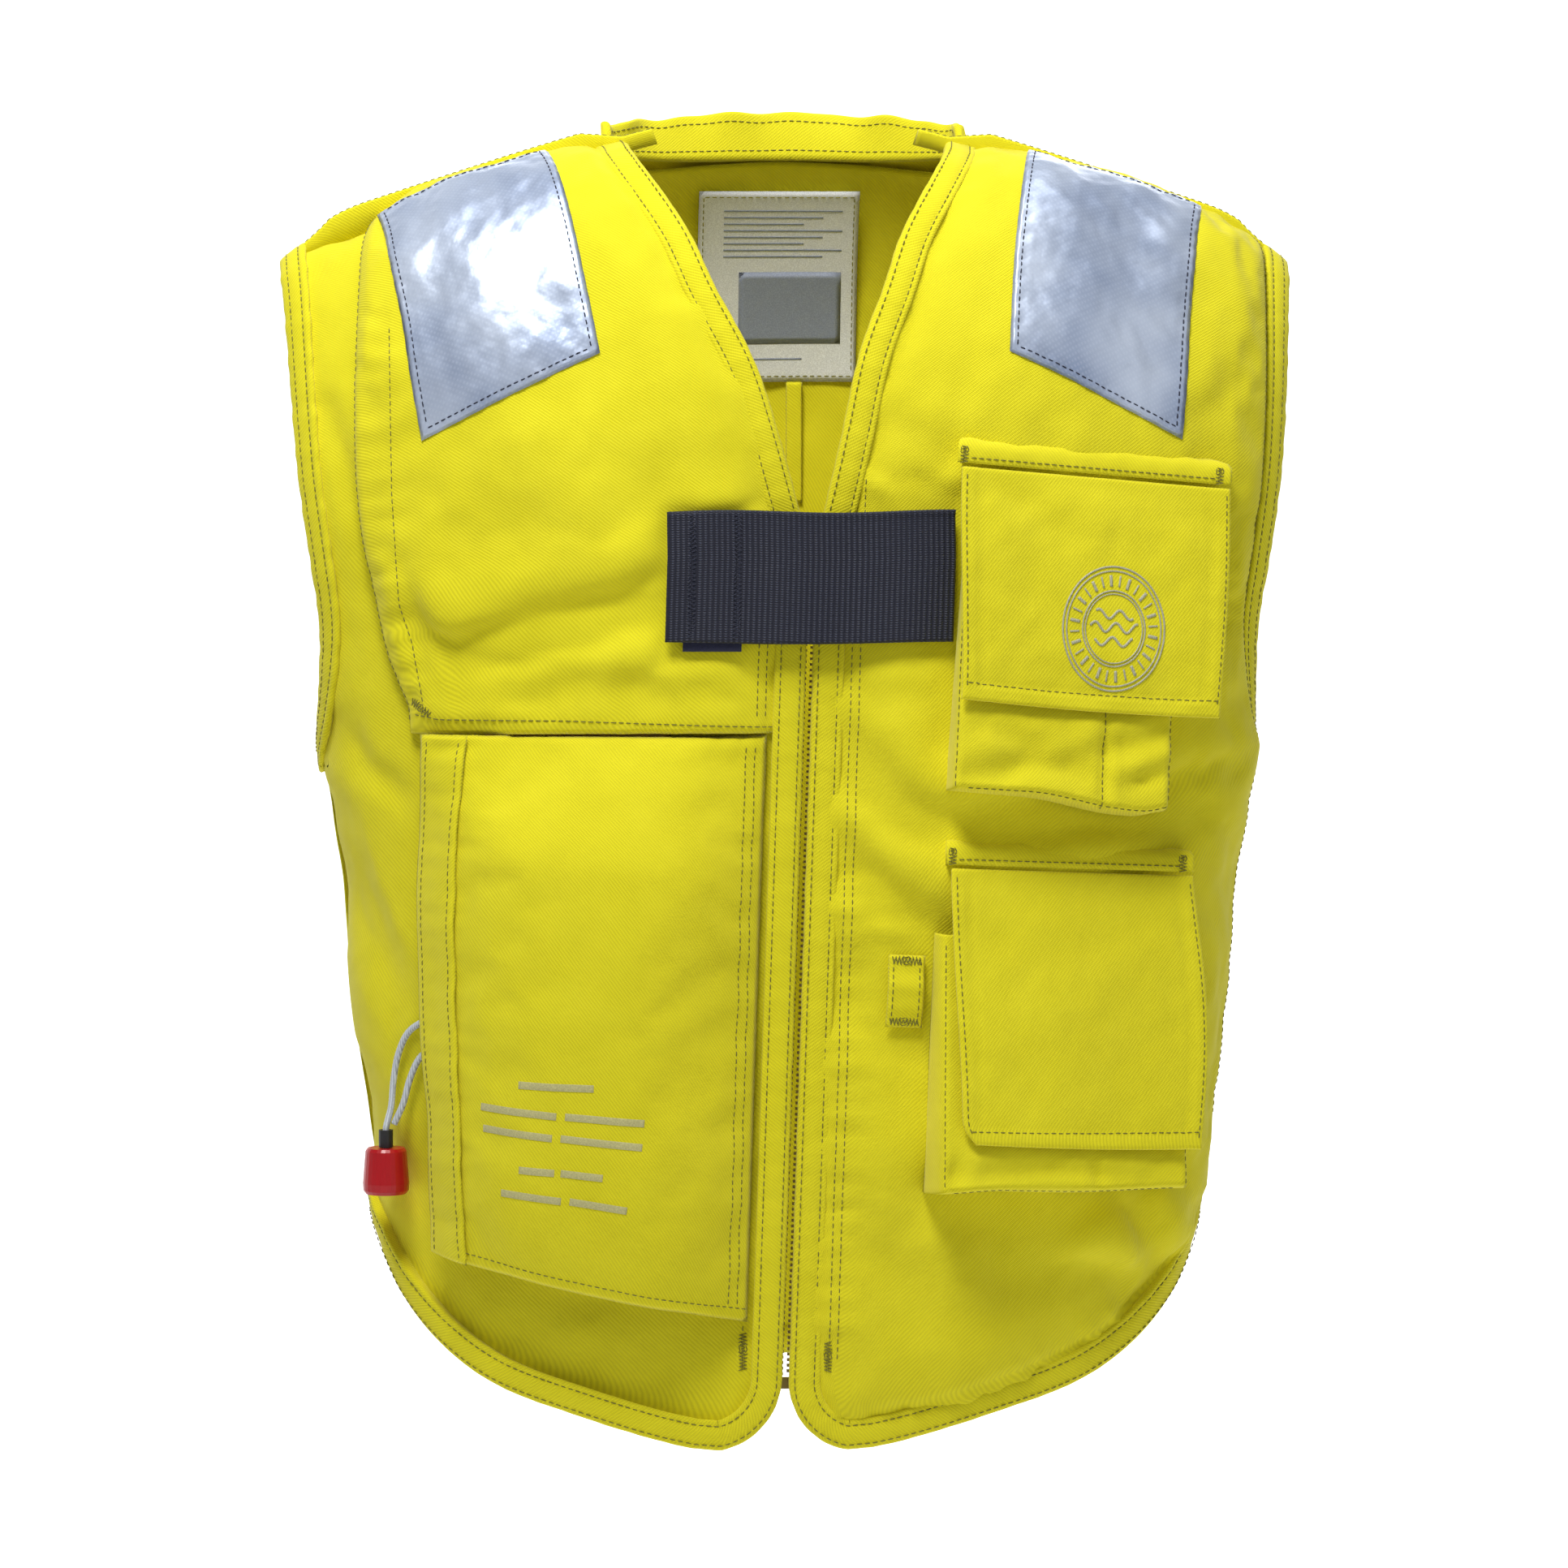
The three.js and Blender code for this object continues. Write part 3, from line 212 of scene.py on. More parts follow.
def down_at(x, z):
    """The cloth length down at a place (x, z) seen from the front or the back."""
    return down_of(ridge(x) - z)


def angle_at(x, down):
    """The angle where the form is x wide."""
    return np.degrees(np.arcsin(np.clip(x / half_width(down), -0.999, 0.999)))


def on_front(x, z, lift):
    """Points over the front, seen from the front at (x, z)."""
    down = down_at(x, z)
    return lay(angle_at(x, down), down, lift)


def on_back(x, z, lift):
    """Points over the back, seen from behind at (x, z)."""
    down = down_at(x, z)
    return lay(180 - angle_at(x, down), down, lift)


def degree(angle, down):
    """Cloth length from one degree to the next."""
    return np.linalg.norm(form_point(angle - 0.5, down) - form_point(angle + 0.5, down), axis=-1)


def hem_down(angle):
    """The cloth length down to the hem."""
    return YOKE_LENGTH - YOKE_DROP + ridge(half_width(560) * np.sin(np.radians(angle))) - hem_z(np.abs(angle))


def softened(row, window, ends="edge"):
    """A row of numbers averaged over a window."""
    return np.convolve(np.pad(row, window // 2, mode=ends), np.ones(window) / window, "valid")


def lerp(a, b, t):
    """From a to b by a share t."""
    return a + (b - a) * t


def smooth(t):
    """0 to 1 with a soft start and end."""
    t = np.clip(t, 0, 1)
    return t * t * (3 - 2 * t)


# ---------------------------------------------------------------- the cloth's edges

def front_edge():
    """The free edge of one front, as rows of (angle, down) from the neck point to the side seam."""
    z = np.arange(0, ZIP_BOTTOM - 1, -3.0)
    x = np.maximum(neckline(z), FRONT_GAP)
    turn = np.radians(np.arange(183, 262, 4))
    x = np.concatenate([x, FRONT_GAP + FRONT_CORNER + FRONT_CORNER * np.cos(turn)])
    z = np.concatenate([z, -600 + FRONT_CORNER + FRONT_CORNER * np.sin(turn)])
    down = down_at(x, z)
    hem = np.arange(13.0, 90.5, 1)
    return np.stack([
        np.concatenate([angle_at(x, down), hem]), np.concatenate([down, hem_down(hem)]),
    ], -1)


def inset(line, distance):
    """A line of (angle, down) moved inside the cloth by a distance in mm."""
    step = np.gradient(line, axis=0)
    wide = degree(line[:, 0], line[:, 1])
    along = unit(np.stack([step[:, 0] * wide, step[:, 1]], -1))
    return line + np.stack([along[:, 1] * distance / wide, -along[:, 0] * distance], -1)


EDGE = front_edge()


def edge_angle(down, distance):
    """The angle at a distance inside the front opening's edge."""
    line = inset(EDGE, distance)
    keep = (line[:, 0] < 40) & (line[:, 1] < 560)
    straight = np.interp(down, line[keep, 1], line[keep, 0])
    corner = ZIP_BOTTOM - (ridge(20) - YOKE_DROP - (down - YOKE_LENGTH))
    radius = FRONT_CORNER - distance
    x = FRONT_GAP + FRONT_CORNER - np.sqrt(np.clip(radius**2 - np.maximum(corner, 0) ** 2, 0, None))
    return np.where(corner > 0, np.maximum(angle_at(x, down), straight), straight)


def hem_limit(angle, distance):
    """The cloth length down to a distance above the hem."""
    rise = (hem_down(angle + 1) - hem_down(angle - 1)) / 2
    return hem_down(angle) - distance * np.hypot(1, rise / degree(angle, 560.0))


def outer_angle(down, distance):
    """The angle at a distance inside the armhole's rim, or the side seam below it."""
    rim = armhole(down)
    inside = rim - distance / degree(rim - 2, down)
    return np.where(down > ARMHOLE_BOTTOM + 6, 90.0, np.minimum(inside, 90.0))


right_outer = through_rows([
    (0, 55), (40, 55.5), (90, 56), (140, 57.5), (185, 59), (235, 58.3), (250, 56.7), (266, 54.7),
])
yoke_outer = through_rows([(0, 72), (40, 66), (90, 61), (200, 59)])


def left_outer(down):
    return np.minimum(outer_angle(down, 8) - 1, 82)


def swell(*edge_distances):
    """How far a cover stands off, from its edges to its middle over the folded bladder."""
    rise = np.minimum.reduce([np.sqrt(np.clip(mm / 24, 0, 1)) for mm in edge_distances])
    return lerp(EDGE_LIFT, PADDED_LIFT, rise)


def neck_drop(x):
    """How far the back's neckline lies below the shoulder line."""
    return BACK_NECK_DOWN * np.sqrt(np.clip(1 - (x / BACK_NECK_HALF) ** 2, 0, 1))

# ---------------------------------------------------------------- folds drawn on the cloth


def along_line(line, x, z):
    """Signed distance of each (x, z) from a line of points, and how far along it, from 0 to 1."""
    line = np.array(line, float)
    best, side, where, run = np.full(x.shape, 1e9), np.ones(x.shape), np.zeros(x.shape), 0.0
    for (ax, az), (bx, bz) in zip(line[:-1], line[1:]):
        dx, dz = bx - ax, bz - az
        length = math.hypot(dx, dz)
        t = np.clip(((x - ax) * dx + (z - az) * dz) / length**2, 0, 1)
        ox, oz = x - ax - t * dx, z - az - t * dz
        d = np.hypot(ox, oz)
        near = d < best
        best = np.where(near, d, best)
        side = np.where(near, np.sign(dx * oz - dz * ox), side)
        where = np.where(near, run + t * length, where)
        run += length
    return best * side, where / run


def folds(x, z, strokes):
    """The height that folds add: each is (line, width, depth), with a soft ridge beside its valley."""
    height = np.zeros(x.shape)
    for line, width, depth in strokes:
        d, t = along_line(line, x, z)
        fade = np.sin(np.pi * np.clip(0.12 + 0.76 * t, 0, 1)) ** 0.8
        valley = np.exp(-((d / width) ** 2))
        crest = np.exp(-(((d - 1.9 * width) / (1.1 * width)) ** 2))
        crest += 0.6 * np.exp(-(((d + 2 * width) / (1.2 * width)) ** 2))
        height += fade * depth * (0.4 * crest - valley)
    return height


def puckers(x, z, line, wave, height, reach):
    """Small ripples square to a seam, fading away from it."""
    d, t = along_line(line, x, z)
    run = sum(math.dist(a, b) for a, b in zip(line[:-1], line[1:]))
    phase = 2 * np.pi * t * run / wave
    ripple = np.sin(phase) + 0.6 * np.sin(2.3 * phase + 1.3) + 0.5 * np.sin(0.61 * phase + 0.4)
    return height * ripple * np.exp(-((d / reach) ** 2))


def rumple(p, size, height, seed=0.0):
    """Soft unevenness of hanging cloth."""
    flat = p.reshape(-1, 3) / size
    found = [noise.fractal(Vector((a + seed, b * 0.8, c * 0.7)), 0.6, 2.1, 3) for a, b, c in flat]
    return np.array(found).reshape(p.shape[:-1]) * height

# ---------------------------------------------------------------- materials


class Nodes:
    """Small helper for building one material's nodes."""

    def __init__(self, name):
        self.material = bpy.data.materials.new(name)
        self.material.use_nodes = True
        self.tree = self.material.node_tree
        self.shader = self.tree.nodes["Principled BSDF"]

    def add(self, kind, **values):
        made = self.tree.nodes.new(f"ShaderNode{kind}")
        for key, value in values.items():
            if key in made.inputs:
                made.inputs[key].default_value = value
            else:
                setattr(made, key, value)
        return made

    def join(self, out, into):
        self.tree.links.new(out, into)
        return self

    def math(self, operation, a, b=None):
        made = self.add("Math", operation=operation)
        for socket, value in zip(made.inputs, (a, b)):
            if value is None:
                continue
            if isinstance(value, (int, float)):
                socket.default_value = value
            else:
                self.join(value, socket)
        return made.outputs[0]

    def times(self, a, b):
        return self.math("MULTIPLY", a, b)

    def plus(self, a, b):
        return self.math("ADD", a, b)

    def mix(self, factor, a, b):
        made = self.add("Mix", data_type="RGBA")
        for socket, value in zip((made.inputs[0], made.inputs[6], made.inputs[7]), (factor, a, b)):
            if isinstance(value, bpy.types.NodeSocket):
                self.join(value, socket)
            else:
                socket.default_value = value if isinstance(value, (int, float)) else (*value, 1)
        return made.outputs[2]

    def noise(self, scale, detail=3.0, source=None):
        made = self.add("TexNoise", Scale=scale, Detail=detail)
        if source is not None:
            self.join(source, made.inputs["Vector"])
        return made.outputs["Fac"]

    def ribs(self, pitch, turn, source, distortion=0.0):
        """Parallel ribs a pitch apart in metres, from 0 to 1."""
        mapping = self.add("Mapping")
        mapping.inputs["Rotation"].default_value = (0, 0, math.radians(turn))
        self.join(source, mapping.inputs["Vector"])
        wave = self.add("TexWave", Scale=0.31416 / pitch, Distortion=distortion)
        wave.inputs["Detail Scale"].default_value = 3.0
        self.join(mapping.outputs[0], wave.inputs["Vector"])
        return wave.outputs["Fac"]

    def bump(self, height, strength, distance, after=None):
        made = self.add("Bump", Strength=strength, Distance=distance)
        self.join(height, made.inputs["Height"])
        if after is not None:
            self.join(after, made.inputs["Normal"])
        return made.outputs[0]

    def finish(self, colour, roughness, normal=None, **constants):
        for key, value in (("Base Color", colour), ("Roughness", roughness)):
            if isinstance(value, bpy.types.NodeSocket):
                self.join(value, self.shader.inputs[key])
            else:
                self.shader.inputs[key].default_value = value if isinstance(value, float) else (*value, 1)
        if normal is not None:
            self.join(normal, self.shader.inputs["Normal"])
        for key, value in constants.items():
            self.shader.inputs[key.replace("_", " ")].default_value = value
        return self.material

    def cloth(self):
        return self.add("UVMap", uv_map="cloth").outputs[0]

    def place(self):
        return self.add("TexCoord").outputs["Object"]


def twill(name, colour, rib=0.0013, turn=38, depth=0.00022, roughness=0.88):
    """Woven twill: steep diagonal ribs of thread, rubbed high spots, and broad patches of painted shade,
    darker and lighter by turns.
    """
    n = Nodes(name)
    uv, place = n.cloth(), n.place()
    rib_height = n.ribs(rib, turn, uv, 0.6)
    thread = n.ribs(rib * 0.62, turn + 78, uv, 0.4)
    weave = n.plus(n.times(rib_height, 0.7), n.times(thread, 0.3))
    fine = n.noise(2600, 2.0, uv)
    weave = n.plus(n.times(weave, 0.75), n.times(fine, 0.25))
    dark = tuple(c * k for c, k in zip(colour, (0.66, 0.64, 0.5)))
    woven = n.mix(n.math("POWER", weave, 0.8), dark, colour)
    cloudy = n.times(n.noise(9, 4.0, place), n.noise(46, 3.0, place))
    worn = n.mix(n.times(cloudy, 0.9), woven, tuple(min(1.0, c * 1.08 + 0.015) for c in colour))
    # painted shade: broad soft patches that darken, and in places lighten, the whole colour in place of
    # shading
    shade = n.plus(0.84, n.times(n.noise(5, 5.0, place), 0.3))
    shaded_colour = n.mix(1.0, worn, (0.5, 0.5, 0.5))
    multiply = shaded_colour.node
    multiply.blend_type = "MULTIPLY"
    grey = n.add("CombineColor")
    for socket in grey.inputs:
        n.join(shade, socket)
    n.join(grey.outputs[0], multiply.inputs[7])
    rough = n.plus(roughness - 0.06, n.times(weave, 0.1))
    normal = n.bump(n.noise(170, 4.0, place), 0.25, 0.0006, None)
    normal = n.bump(weave, 0.75, depth, normal)
    return n.finish(shaded_colour, rough, normal, Sheen_Weight=0.12, Sheen_Roughness=0.5, Specular_IOR_Level=0.22)


def webbing():
    """Near-black navy webbing: ribs across its length, with grey-blue flecks where threads cross."""
    n = Nodes("webbing")
    uv, place = n.cloth(), n.place()
    across = n.ribs(0.0026, 0, uv)
    picks = n.ribs(0.0011, 90, uv, 0.8)
    weave = n.times(across, picks)
    fleck = n.times(n.math("POWER", weave, 3.0), n.noise(900, 2.0, uv))
    colour = n.mix(n.times(fleck, 1.3), (0.0062, 0.0075, 0.021), (0.09, 0.11, 0.19))
    normal = n.bump(weave, 0.9, 0.0005)
    rough = n.plus(0.5, n.times(n.noise(60, 2.0, place), 0.2))
    return n.finish(colour, rough, normal, Sheen_Weight=0.08, Specular_IOR_Level=0.4)


def plain_cloth(name, colour, rib=0.0009, roughness=0.85, depth=0.00015):
    """Fine cloth with a looped, fuzzy face."""
    n = Nodes(name)
    place = n.place()
    fuzz = n.noise(1500, 3.0, place)
    loops = n.add("TexVoronoi", Scale=1.0 / rib)
    n.join(place, loops.inputs["Vector"])
    height = n.plus(fuzz, loops.outputs["Distance"])
    dark = tuple(c * 0.55 for c in colour)
    tone = n.mix(n.times(height, 0.7), dark, colour)
    return n.finish(tone, roughness, n.bump(height, 0.8, depth), Sheen_Weight=0.2)


def reflective():
    """Silver tape of glass beads: a fine diamond grid under a soft satin shine, a little creased."""
    n = Nodes("reflective")
    uv, place = n.cloth(), n.place()
    cells = n.times(n.ribs(0.0021, 45, uv), n.ribs(0.0021, -45, uv))
    cloudy = n.math("SUBTRACT", n.noise(21, 2.0, place), 0.3)
    tone = n.mix(n.times(cloudy, 1.9), (0.27, 0.34, 0.50), (0.66, 0.74, 0.88))
    tone = n.mix(n.times(cells, 0.16), tone, (0.78, 0.84, 0.95))
    scuffs = n.noise(340, 4.0, place)
    rough = n.plus(0.24, n.times(scuffs, 0.26))
    normal = n.bump(n.noise(48, 3.0, place), 0.5, 0.0022)
    normal = n.bump(cells, 0.2, 0.00006, normal)
    return n.finish(tone, rough, normal, Metallic=0.35, Specular_IOR_Level=0.6)


def moulded(name, colour, roughness=0.35):
    """Moulded plastic: fine grain, faint flow marks and scuffs."""
    n = Nodes(name)
    place = n.place()
    scuff = n.noise(240, 5.0, place)
    tone = n.mix(n.times(n.noise(60, 3.0, place), 0.5), colour, tuple(c * 0.62 for c in colour))
    rough = n.plus(roughness - 0.08, n.times(scuff, 0.2))
    normal = n.bump(n.noise(1900, 2.0, place), 0.25, 0.00008)
    return n.finish(tone, rough, normal, Specular_IOR_Level=0.5, Coat_Weight=0.08)


def metal(name, colour, roughness=0.32, turn=0):
    """Metal with brush marks and dull patches."""
    n = Nodes(name)
    place = n.place()
    brushed = n.ribs(0.0004, turn, place, 3.0)
    tone = n.mix(n.times(n.noise(120, 4.0, place), 0.8), colour, tuple(c * 0.5 for c in colour))
    rough = n.plus(roughness - 0.06, n.times(n.noise(300, 3.0, place), 0.2))
    return n.finish(tone, rough, n.bump(brushed, 0.12, 0.00005), Metallic=0.92)


def film(name, colour):
    """Coated nylon film: fine plain weave under a satin coat."""
    n = Nodes(name)
    place = n.place()
    grid = n.times(n.ribs(0.0011, 0, place), n.ribs(0.0011, 90, place))
    tone = n.mix(n.noise(30, 3.0, place), colour, tuple(c * 0.7 for c in colour))
    normal = n.bump(n.noise(60, 4.0, place), 0.5, 0.001)
    return n.finish(tone, 0.4, n.bump(grid, 0.2, 0.0001, normal), Specular_IOR_Level=0.5)


def yarn(name, colour, pitch=0.0007, roughness=0.7):
    """Twisted thread or braid."""
    n = Nodes(name)
    twist = n.ribs(pitch, 40, n.place(), 1.0)
    tone = n.mix(n.times(twist, 0.8), tuple(c * 0.5 for c in colour), colour)
    return n.finish(tone, roughness, n.bump(twist, 0.5, 0.0001), Sheen_Weight=0.15)


YELLOW = (0.86, 0.786, 0.012)
MAT = {
    "twill": twill("twill", YELLOW),
    "twill_cross": twill("twill_cross", YELLOW, turn=-52),
    "lining": twill("lining", (0.74, 0.676, 0.015), rib=0.001, turn=0, depth=0.00012),
    "webbing": webbing(),
    "navy": plain_cloth("navy", (0.012, 0.015, 0.05)),
    "reflective": reflective(),
    "label": plain_cloth("label", (0.88, 0.9, 0.92), 0.0006, 0.6, 0.00005),
    "label_grey": plain_cloth("label_grey", (0.3, 0.34, 0.44), 0.0006, 0.6, 0.00005),
    "hooks": plain_cloth("hooks", (0.62, 0.57, 0.03), 0.0012, 0.9, 0.0004),
    "bladder": film("bladder", (0.72, 0.42, 0.02)),
    "black": moulded("black", (0.022, 0.023, 0.026), 0.42),
    "red": moulded("red", (0.52, 0.006, 0.012), 0.3),
    "yellow_plastic": moulded("yellow_plastic", (0.78, 0.56, 0.02), 0.35),
    "white_plastic": moulded("white_plastic", (0.78, 0.79, 0.8), 0.4),
    "rubber": moulded("rubber", (0.02, 0.02, 0.022), 0.6),
    "steel": metal("steel", (0.62, 0.63, 0.65)),
    "brass": metal("brass", (0.33, 0.25, 0.09), 0.36),
    # the yellow stitching thread is given a dark olive colour as painted shade: the stitches' own shadow is
    # painted into the thread's colour
    "thread": yarn("thread", (0.30, 0.275, 0.012)),
    "navy_thread": yarn("navy_thread", (0.02, 0.025, 0.06)),
    "cord": yarn("cord", (0.82, 0.88, 0.95), 0.0011, 0.65),
    "badge": yarn("badge", (0.62, 0.62, 0.42), 0.0005, 0.45),
    "print": plain_cloth("print", (0.60, 0.56, 0.24), 0.0007, 0.6, 0.0001),
}

# ---------------------------------------------------------------- meshes


def mesh_object(name, verts, faces, body, material, uv=None):
    """A smooth mesh from points in mm that rides on a CAD body; uv is one (u, v) in metres for each point."""
    mesh = bpy.data.meshes.new(name)
    mesh.from_pydata((np.asarray(verts, float) * MM).tolist(), [], [tuple(map(int, f)) for f in faces])
    if uv is not None:
        loops = np.empty(len(mesh.loops), int)
        mesh.loops.foreach_get("vertex_index", loops)
        mesh.uv_layers.new(name="cloth").data.foreach_set("uv", np.asarray(uv, float)[loops].ravel())
    mesh.polygons.foreach_set("use_smooth", [True] * len(mesh.polygons))
    mesh.materials.append(MAT[material])
    obj = bpy.data.objects.new(name, mesh)
    scene.collection.objects.link(obj)
    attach(obj, body)
    return obj


def grid_faces(index, flipped):
    """Quads over a grid of point numbers."""
    a, b, c, d = index[:-1, :-1], index[:-1, 1:], index[1:, 1:], index[1:, :-1]
    order = (d, c, b, a) if flipped else (a, b, c, d)
    return np.stack(order, -1).reshape(-1, 4)


def grid_normal(p):
    """The normals of a grid of points."""
    return unit(np.cross(np.gradient(p, axis=1), np.gradient(p, axis=0)))


def cloth_lengths(p):
    """Distances along the rows and down the columns of a grid, in mm."""
    across = np.linalg.norm(np.diff(p, axis=1), axis=-1)
    down = np.linalg.norm(np.diff(p, axis=0), axis=-1)
    u = np.concatenate([np.zeros((p.shape[0], 1)), np.cumsum(across, 1)], 1)
    v = np.concatenate([np.zeros((1, p.shape[1])), np.cumsum(down, 0)], 0)
    return u, v


class Cloth:
    """A sheet over a grid of points on its outer side, turned round at its rim."""

    def __init__(self, points, outward):
        self.p = points
        n = grid_normal(points)
        self.flipped = bool(np.sum(n * outward) < 0)
        self.n = -n if self.flipped else n

    def build(self, name, thick, body, material, slot, *replaced):
        u, v = cloth_lengths(self.p)
        rim = np.minimum.reduce([u, u[:, -1:] - u, v, v[-1:] - v])
        bulge = np.sqrt(1 - (1 - np.clip(rim / (0.8 * thick), 0, 1)) ** 2)[..., None]
        front = self.p - self.n * thick / 2 * (1 - bulge)
        back = self.p - self.n * thick / 2 * (1 + bulge)
        rows, columns = rim.shape
        index = np.arange(rim.size).reshape(rim.shape)
        under = index.copy()
        under[1:-1, 1:-1] = rim.size + np.arange((rows - 2) * (columns - 2)).reshape(rows - 2, columns - 2)
        verts = np.concatenate([front.reshape(-1, 3), back[1:-1, 1:-1].reshape(-1, 3)])
        mid = np.stack([u - u.mean(), -v], -1) * MM
        uv = np.concatenate([mid.reshape(-1, 2), mid[1:-1, 1:-1].reshape(-1, 2)])
        faces = np.concatenate([grid_faces(index, self.flipped), grid_faces(under, not self.flipped)])
        obj = mesh_object(name, verts, faces, body, material, uv)
        if replaced:
            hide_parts(*replaced)
        return obj

    def at(self, u, v):
        """Points and normals at fractions of the grid's rows and columns."""
        rows, columns = self.p.shape[:2]
        i = np.clip(np.asarray(v, float), 0, 1) * (rows - 1)
        j = np.clip(np.asarray(u, float), 0, 1) * (columns - 1)
        i0, j0 = np.minimum(i.astype(int), rows - 2), np.minimum(j.astype(int), columns - 2)
        s, t = (i - i0)[..., None], (j - j0)[..., None]

        def value(a):
            return (
                a[i0, j0] * (1 - s) * (1 - t) + a[i0, j0 + 1] * (1 - s) * t
                + a[i0 + 1, j0] * s * (1 - t) + a[i0 + 1, j0 + 1] * s * t
            )

        return value(self.p), unit(value(self.n))

    def column(self, u, start, end, count):
        """A path down the cloth at one fraction across."""
        return self.at(np.full(count, u), np.linspace(start, end, count))

    def row(self, v, start, end, count):
        """A path across the cloth at one fraction down."""
        return self.at(np.linspace(start, end, count), np.full(count, v))

    def under(self, line, step=1.5):
        """Points and normals of this cloth under a line of (x, z) seen from the front or the back."""
        line = resample(np.array(line, float), step)
        flat = self.p[..., [0, 2]].reshape(-1, 2)
        rows, columns = self.p.shape[:2]
        nearest = np.array([np.argmin(np.sum((flat - q) ** 2, 1)) for q in line])
        i = np.clip(nearest // columns, 1, rows - 2)
        j = np.clip(nearest % columns, 1, columns - 2)
        grid = self.p[..., [0, 2]]
        a = (grid[i, j + 1] - grid[i, j - 1]) / 2
        b = (grid[i + 1, j] - grid[i - 1, j]) / 2
        gap = line - grid[i, j]
        cross = a[:, 0] * b[:, 1] - a[:, 1] * b[:, 0]
        cross = np.where(np.abs(cross) < 1e-6, 1e-6, cross)
        s = np.clip((gap[:, 0] * b[:, 1] - gap[:, 1] * b[:, 0]) / cross, -1, 1)
        t = np.clip((a[:, 0] * gap[:, 1] - a[:, 1] * gap[:, 0]) / cross, -1, 1)
        return self.at((j + s) / (columns - 1), (i + t) / (rows - 1))


def distances(points):
    """How far along a path each of its points is."""
    return np.concatenate([[0], np.cumsum(np.linalg.norm(np.diff(points, axis=0), axis=1))])


def read_at(places, known, vectors):
    """Vectors known at some places of a path, read at others."""
    return np.stack([np.interp(places, known, vectors[:, k]) for k in range(vectors.shape[1])], -1)


def resample(line, step):
    """The same path as evenly spaced points, about a step apart."""
    length = distances(line)
    places = np.linspace(0, length[-1], max(2, int(round(length[-1] / step)) + 1))
    return read_at(places, length, line)


def carried(points, across, out, section):
    """Rings of points: a section of (across, out) rows, one or one a point, carried along a path."""
    return points[:, None] + across[:, None] * section[..., :1] + out[:, None] * section[..., 1:]


def full_grid(columns, rows):
    """Fractions (u, v), from 0 to 1 over the columns and the rows of a grid."""
    return np.meshgrid(np.linspace(0, 1, columns), np.linspace(0, 1, rows))


def settle(p, outward, pinned, pressure, spare, cap, body_frames=16):
    """Cloth simulation on every second point of a grid: the cloth has some spare length, is held where
    pinned is 1, and swells a little. No point moves farther than the cap."""
    coarse = p[::2, ::2]
    n = grid_normal(coarse)
    flipped = np.sum(n * outward[::2, ::2]) < 0
    index = np.arange(coarse.shape[0] * coarse.shape[1]).reshape(coarse.shape[:2])
    mesh = bpy.data.meshes.new("settling")
    mesh.from_pydata((coarse.reshape(-1, 3) * MM).tolist(), [], grid_faces(index, flipped).tolist())
    obj = bpy.data.objects.new("settling", mesh)
    scene.collection.objects.link(obj)
    group = obj.vertex_groups.new(name="pins")
    for k, weight in enumerate(pinned[::2, ::2].ravel()):
        if weight > 0:
            group.add([k], float(weight), "REPLACE")
    cloth = obj.modifiers.new("cloth", "CLOTH")
    s = cloth.settings
    s.quality, s.mass, s.bending_stiffness = 6, 0.2, 0.35
    s.tension_stiffness = s.compression_stiffness = 30
    s.shear_stiffness = 12
    s.vertex_group_mass = "pins"
    s.shrink_min = -spare
    s.use_pressure, s.uniform_pressure_force = True, pressure
    s.effector_weights.gravity = 0
    cloth.collision_settings.use_collision = False
    cloth.point_cache.frame_start, cloth.point_cache.frame_end = 1, body_frames
    for f in range(1, body_frames + 1):
        scene.frame_set(f)
    moved = obj.evaluated_get(bpy.context.evaluated_depsgraph_get()).to_mesh()
    found = np.empty(len(moved.vertices) * 3)
    moved.vertices.foreach_get("co", found)
    shift = found.reshape(coarse.shape) / MM - coarse
    bpy.data.objects.remove(obj)
    bpy.data.meshes.remove(mesh)
    scene.frame_set(1)
    reach = np.linalg.norm(shift, axis=-1, keepdims=True)
    shift *= cap * np.tanh(reach / cap) / np.maximum(reach, 1e-9)
    rows, columns = np.arange(p.shape[0]) / 2, np.arange(p.shape[1]) / 2
    i = np.minimum(rows.astype(int), coarse.shape[0] - 2)
    j = np.minimum(columns.astype(int), coarse.shape[1] - 2)
    a, b = (rows - i)[:, None, None], (columns - j)[None, :, None]
    wide = shift[i] * (1 - a) + shift[i + 1] * a
    fine = wide[:, j] * (1 - b) + wide[:, j + 1] * b
    around = fine[:-2, 1:-1] + fine[2:, 1:-1] + fine[1:-1, :-2] + fine[1:-1, 2:]
    fine[1:-1, 1:-1] = (fine[1:-1, 1:-1] * 2 + around) / 6
    return p + fine


def rounded(half, low, high, radius=1.6, steps=4):
    """A rounded rectangle section, as (across, out) rows."""
    rows = []
    for cx, cy, start in (
        (half - radius, high - radius, 0), (-half + radius, high - radius, 90),
        (-half + radius, low + radius, 180), (half - radius, low + radius, 270),
    ):
        for k in range(steps + 1):
            turn = math.radians(start + 90 * k / steps)
            rows.append((cx + radius * math.cos(turn), cy + radius * math.sin(turn)))
    return rows


STITCHES = {}


def stitch(path, body="vest", colour="thread", pitch=3.5, length=2.6, radius=0.3, lift=0.1):
    """Lays stitches along (points, normals); they are made into one mesh for each body and colour."""
    points, normals = path
    run = distances(points)
    middles = np.arange(pitch / 2, run[-1] - pitch / 4, pitch)
    if not len(middles):
        return
    place = read_at(middles, run, points)
    out = unit(read_at(middles, run, normals))
    along = unit(read_at(middles + 0.4 * pitch, run, points) - read_at(middles - 0.4 * pitch, run, points))
    side = unit(np.cross(along, out))
    STITCHES.setdefault((body, colour), []).append((place + out * lift, along, side, out, length, radius))


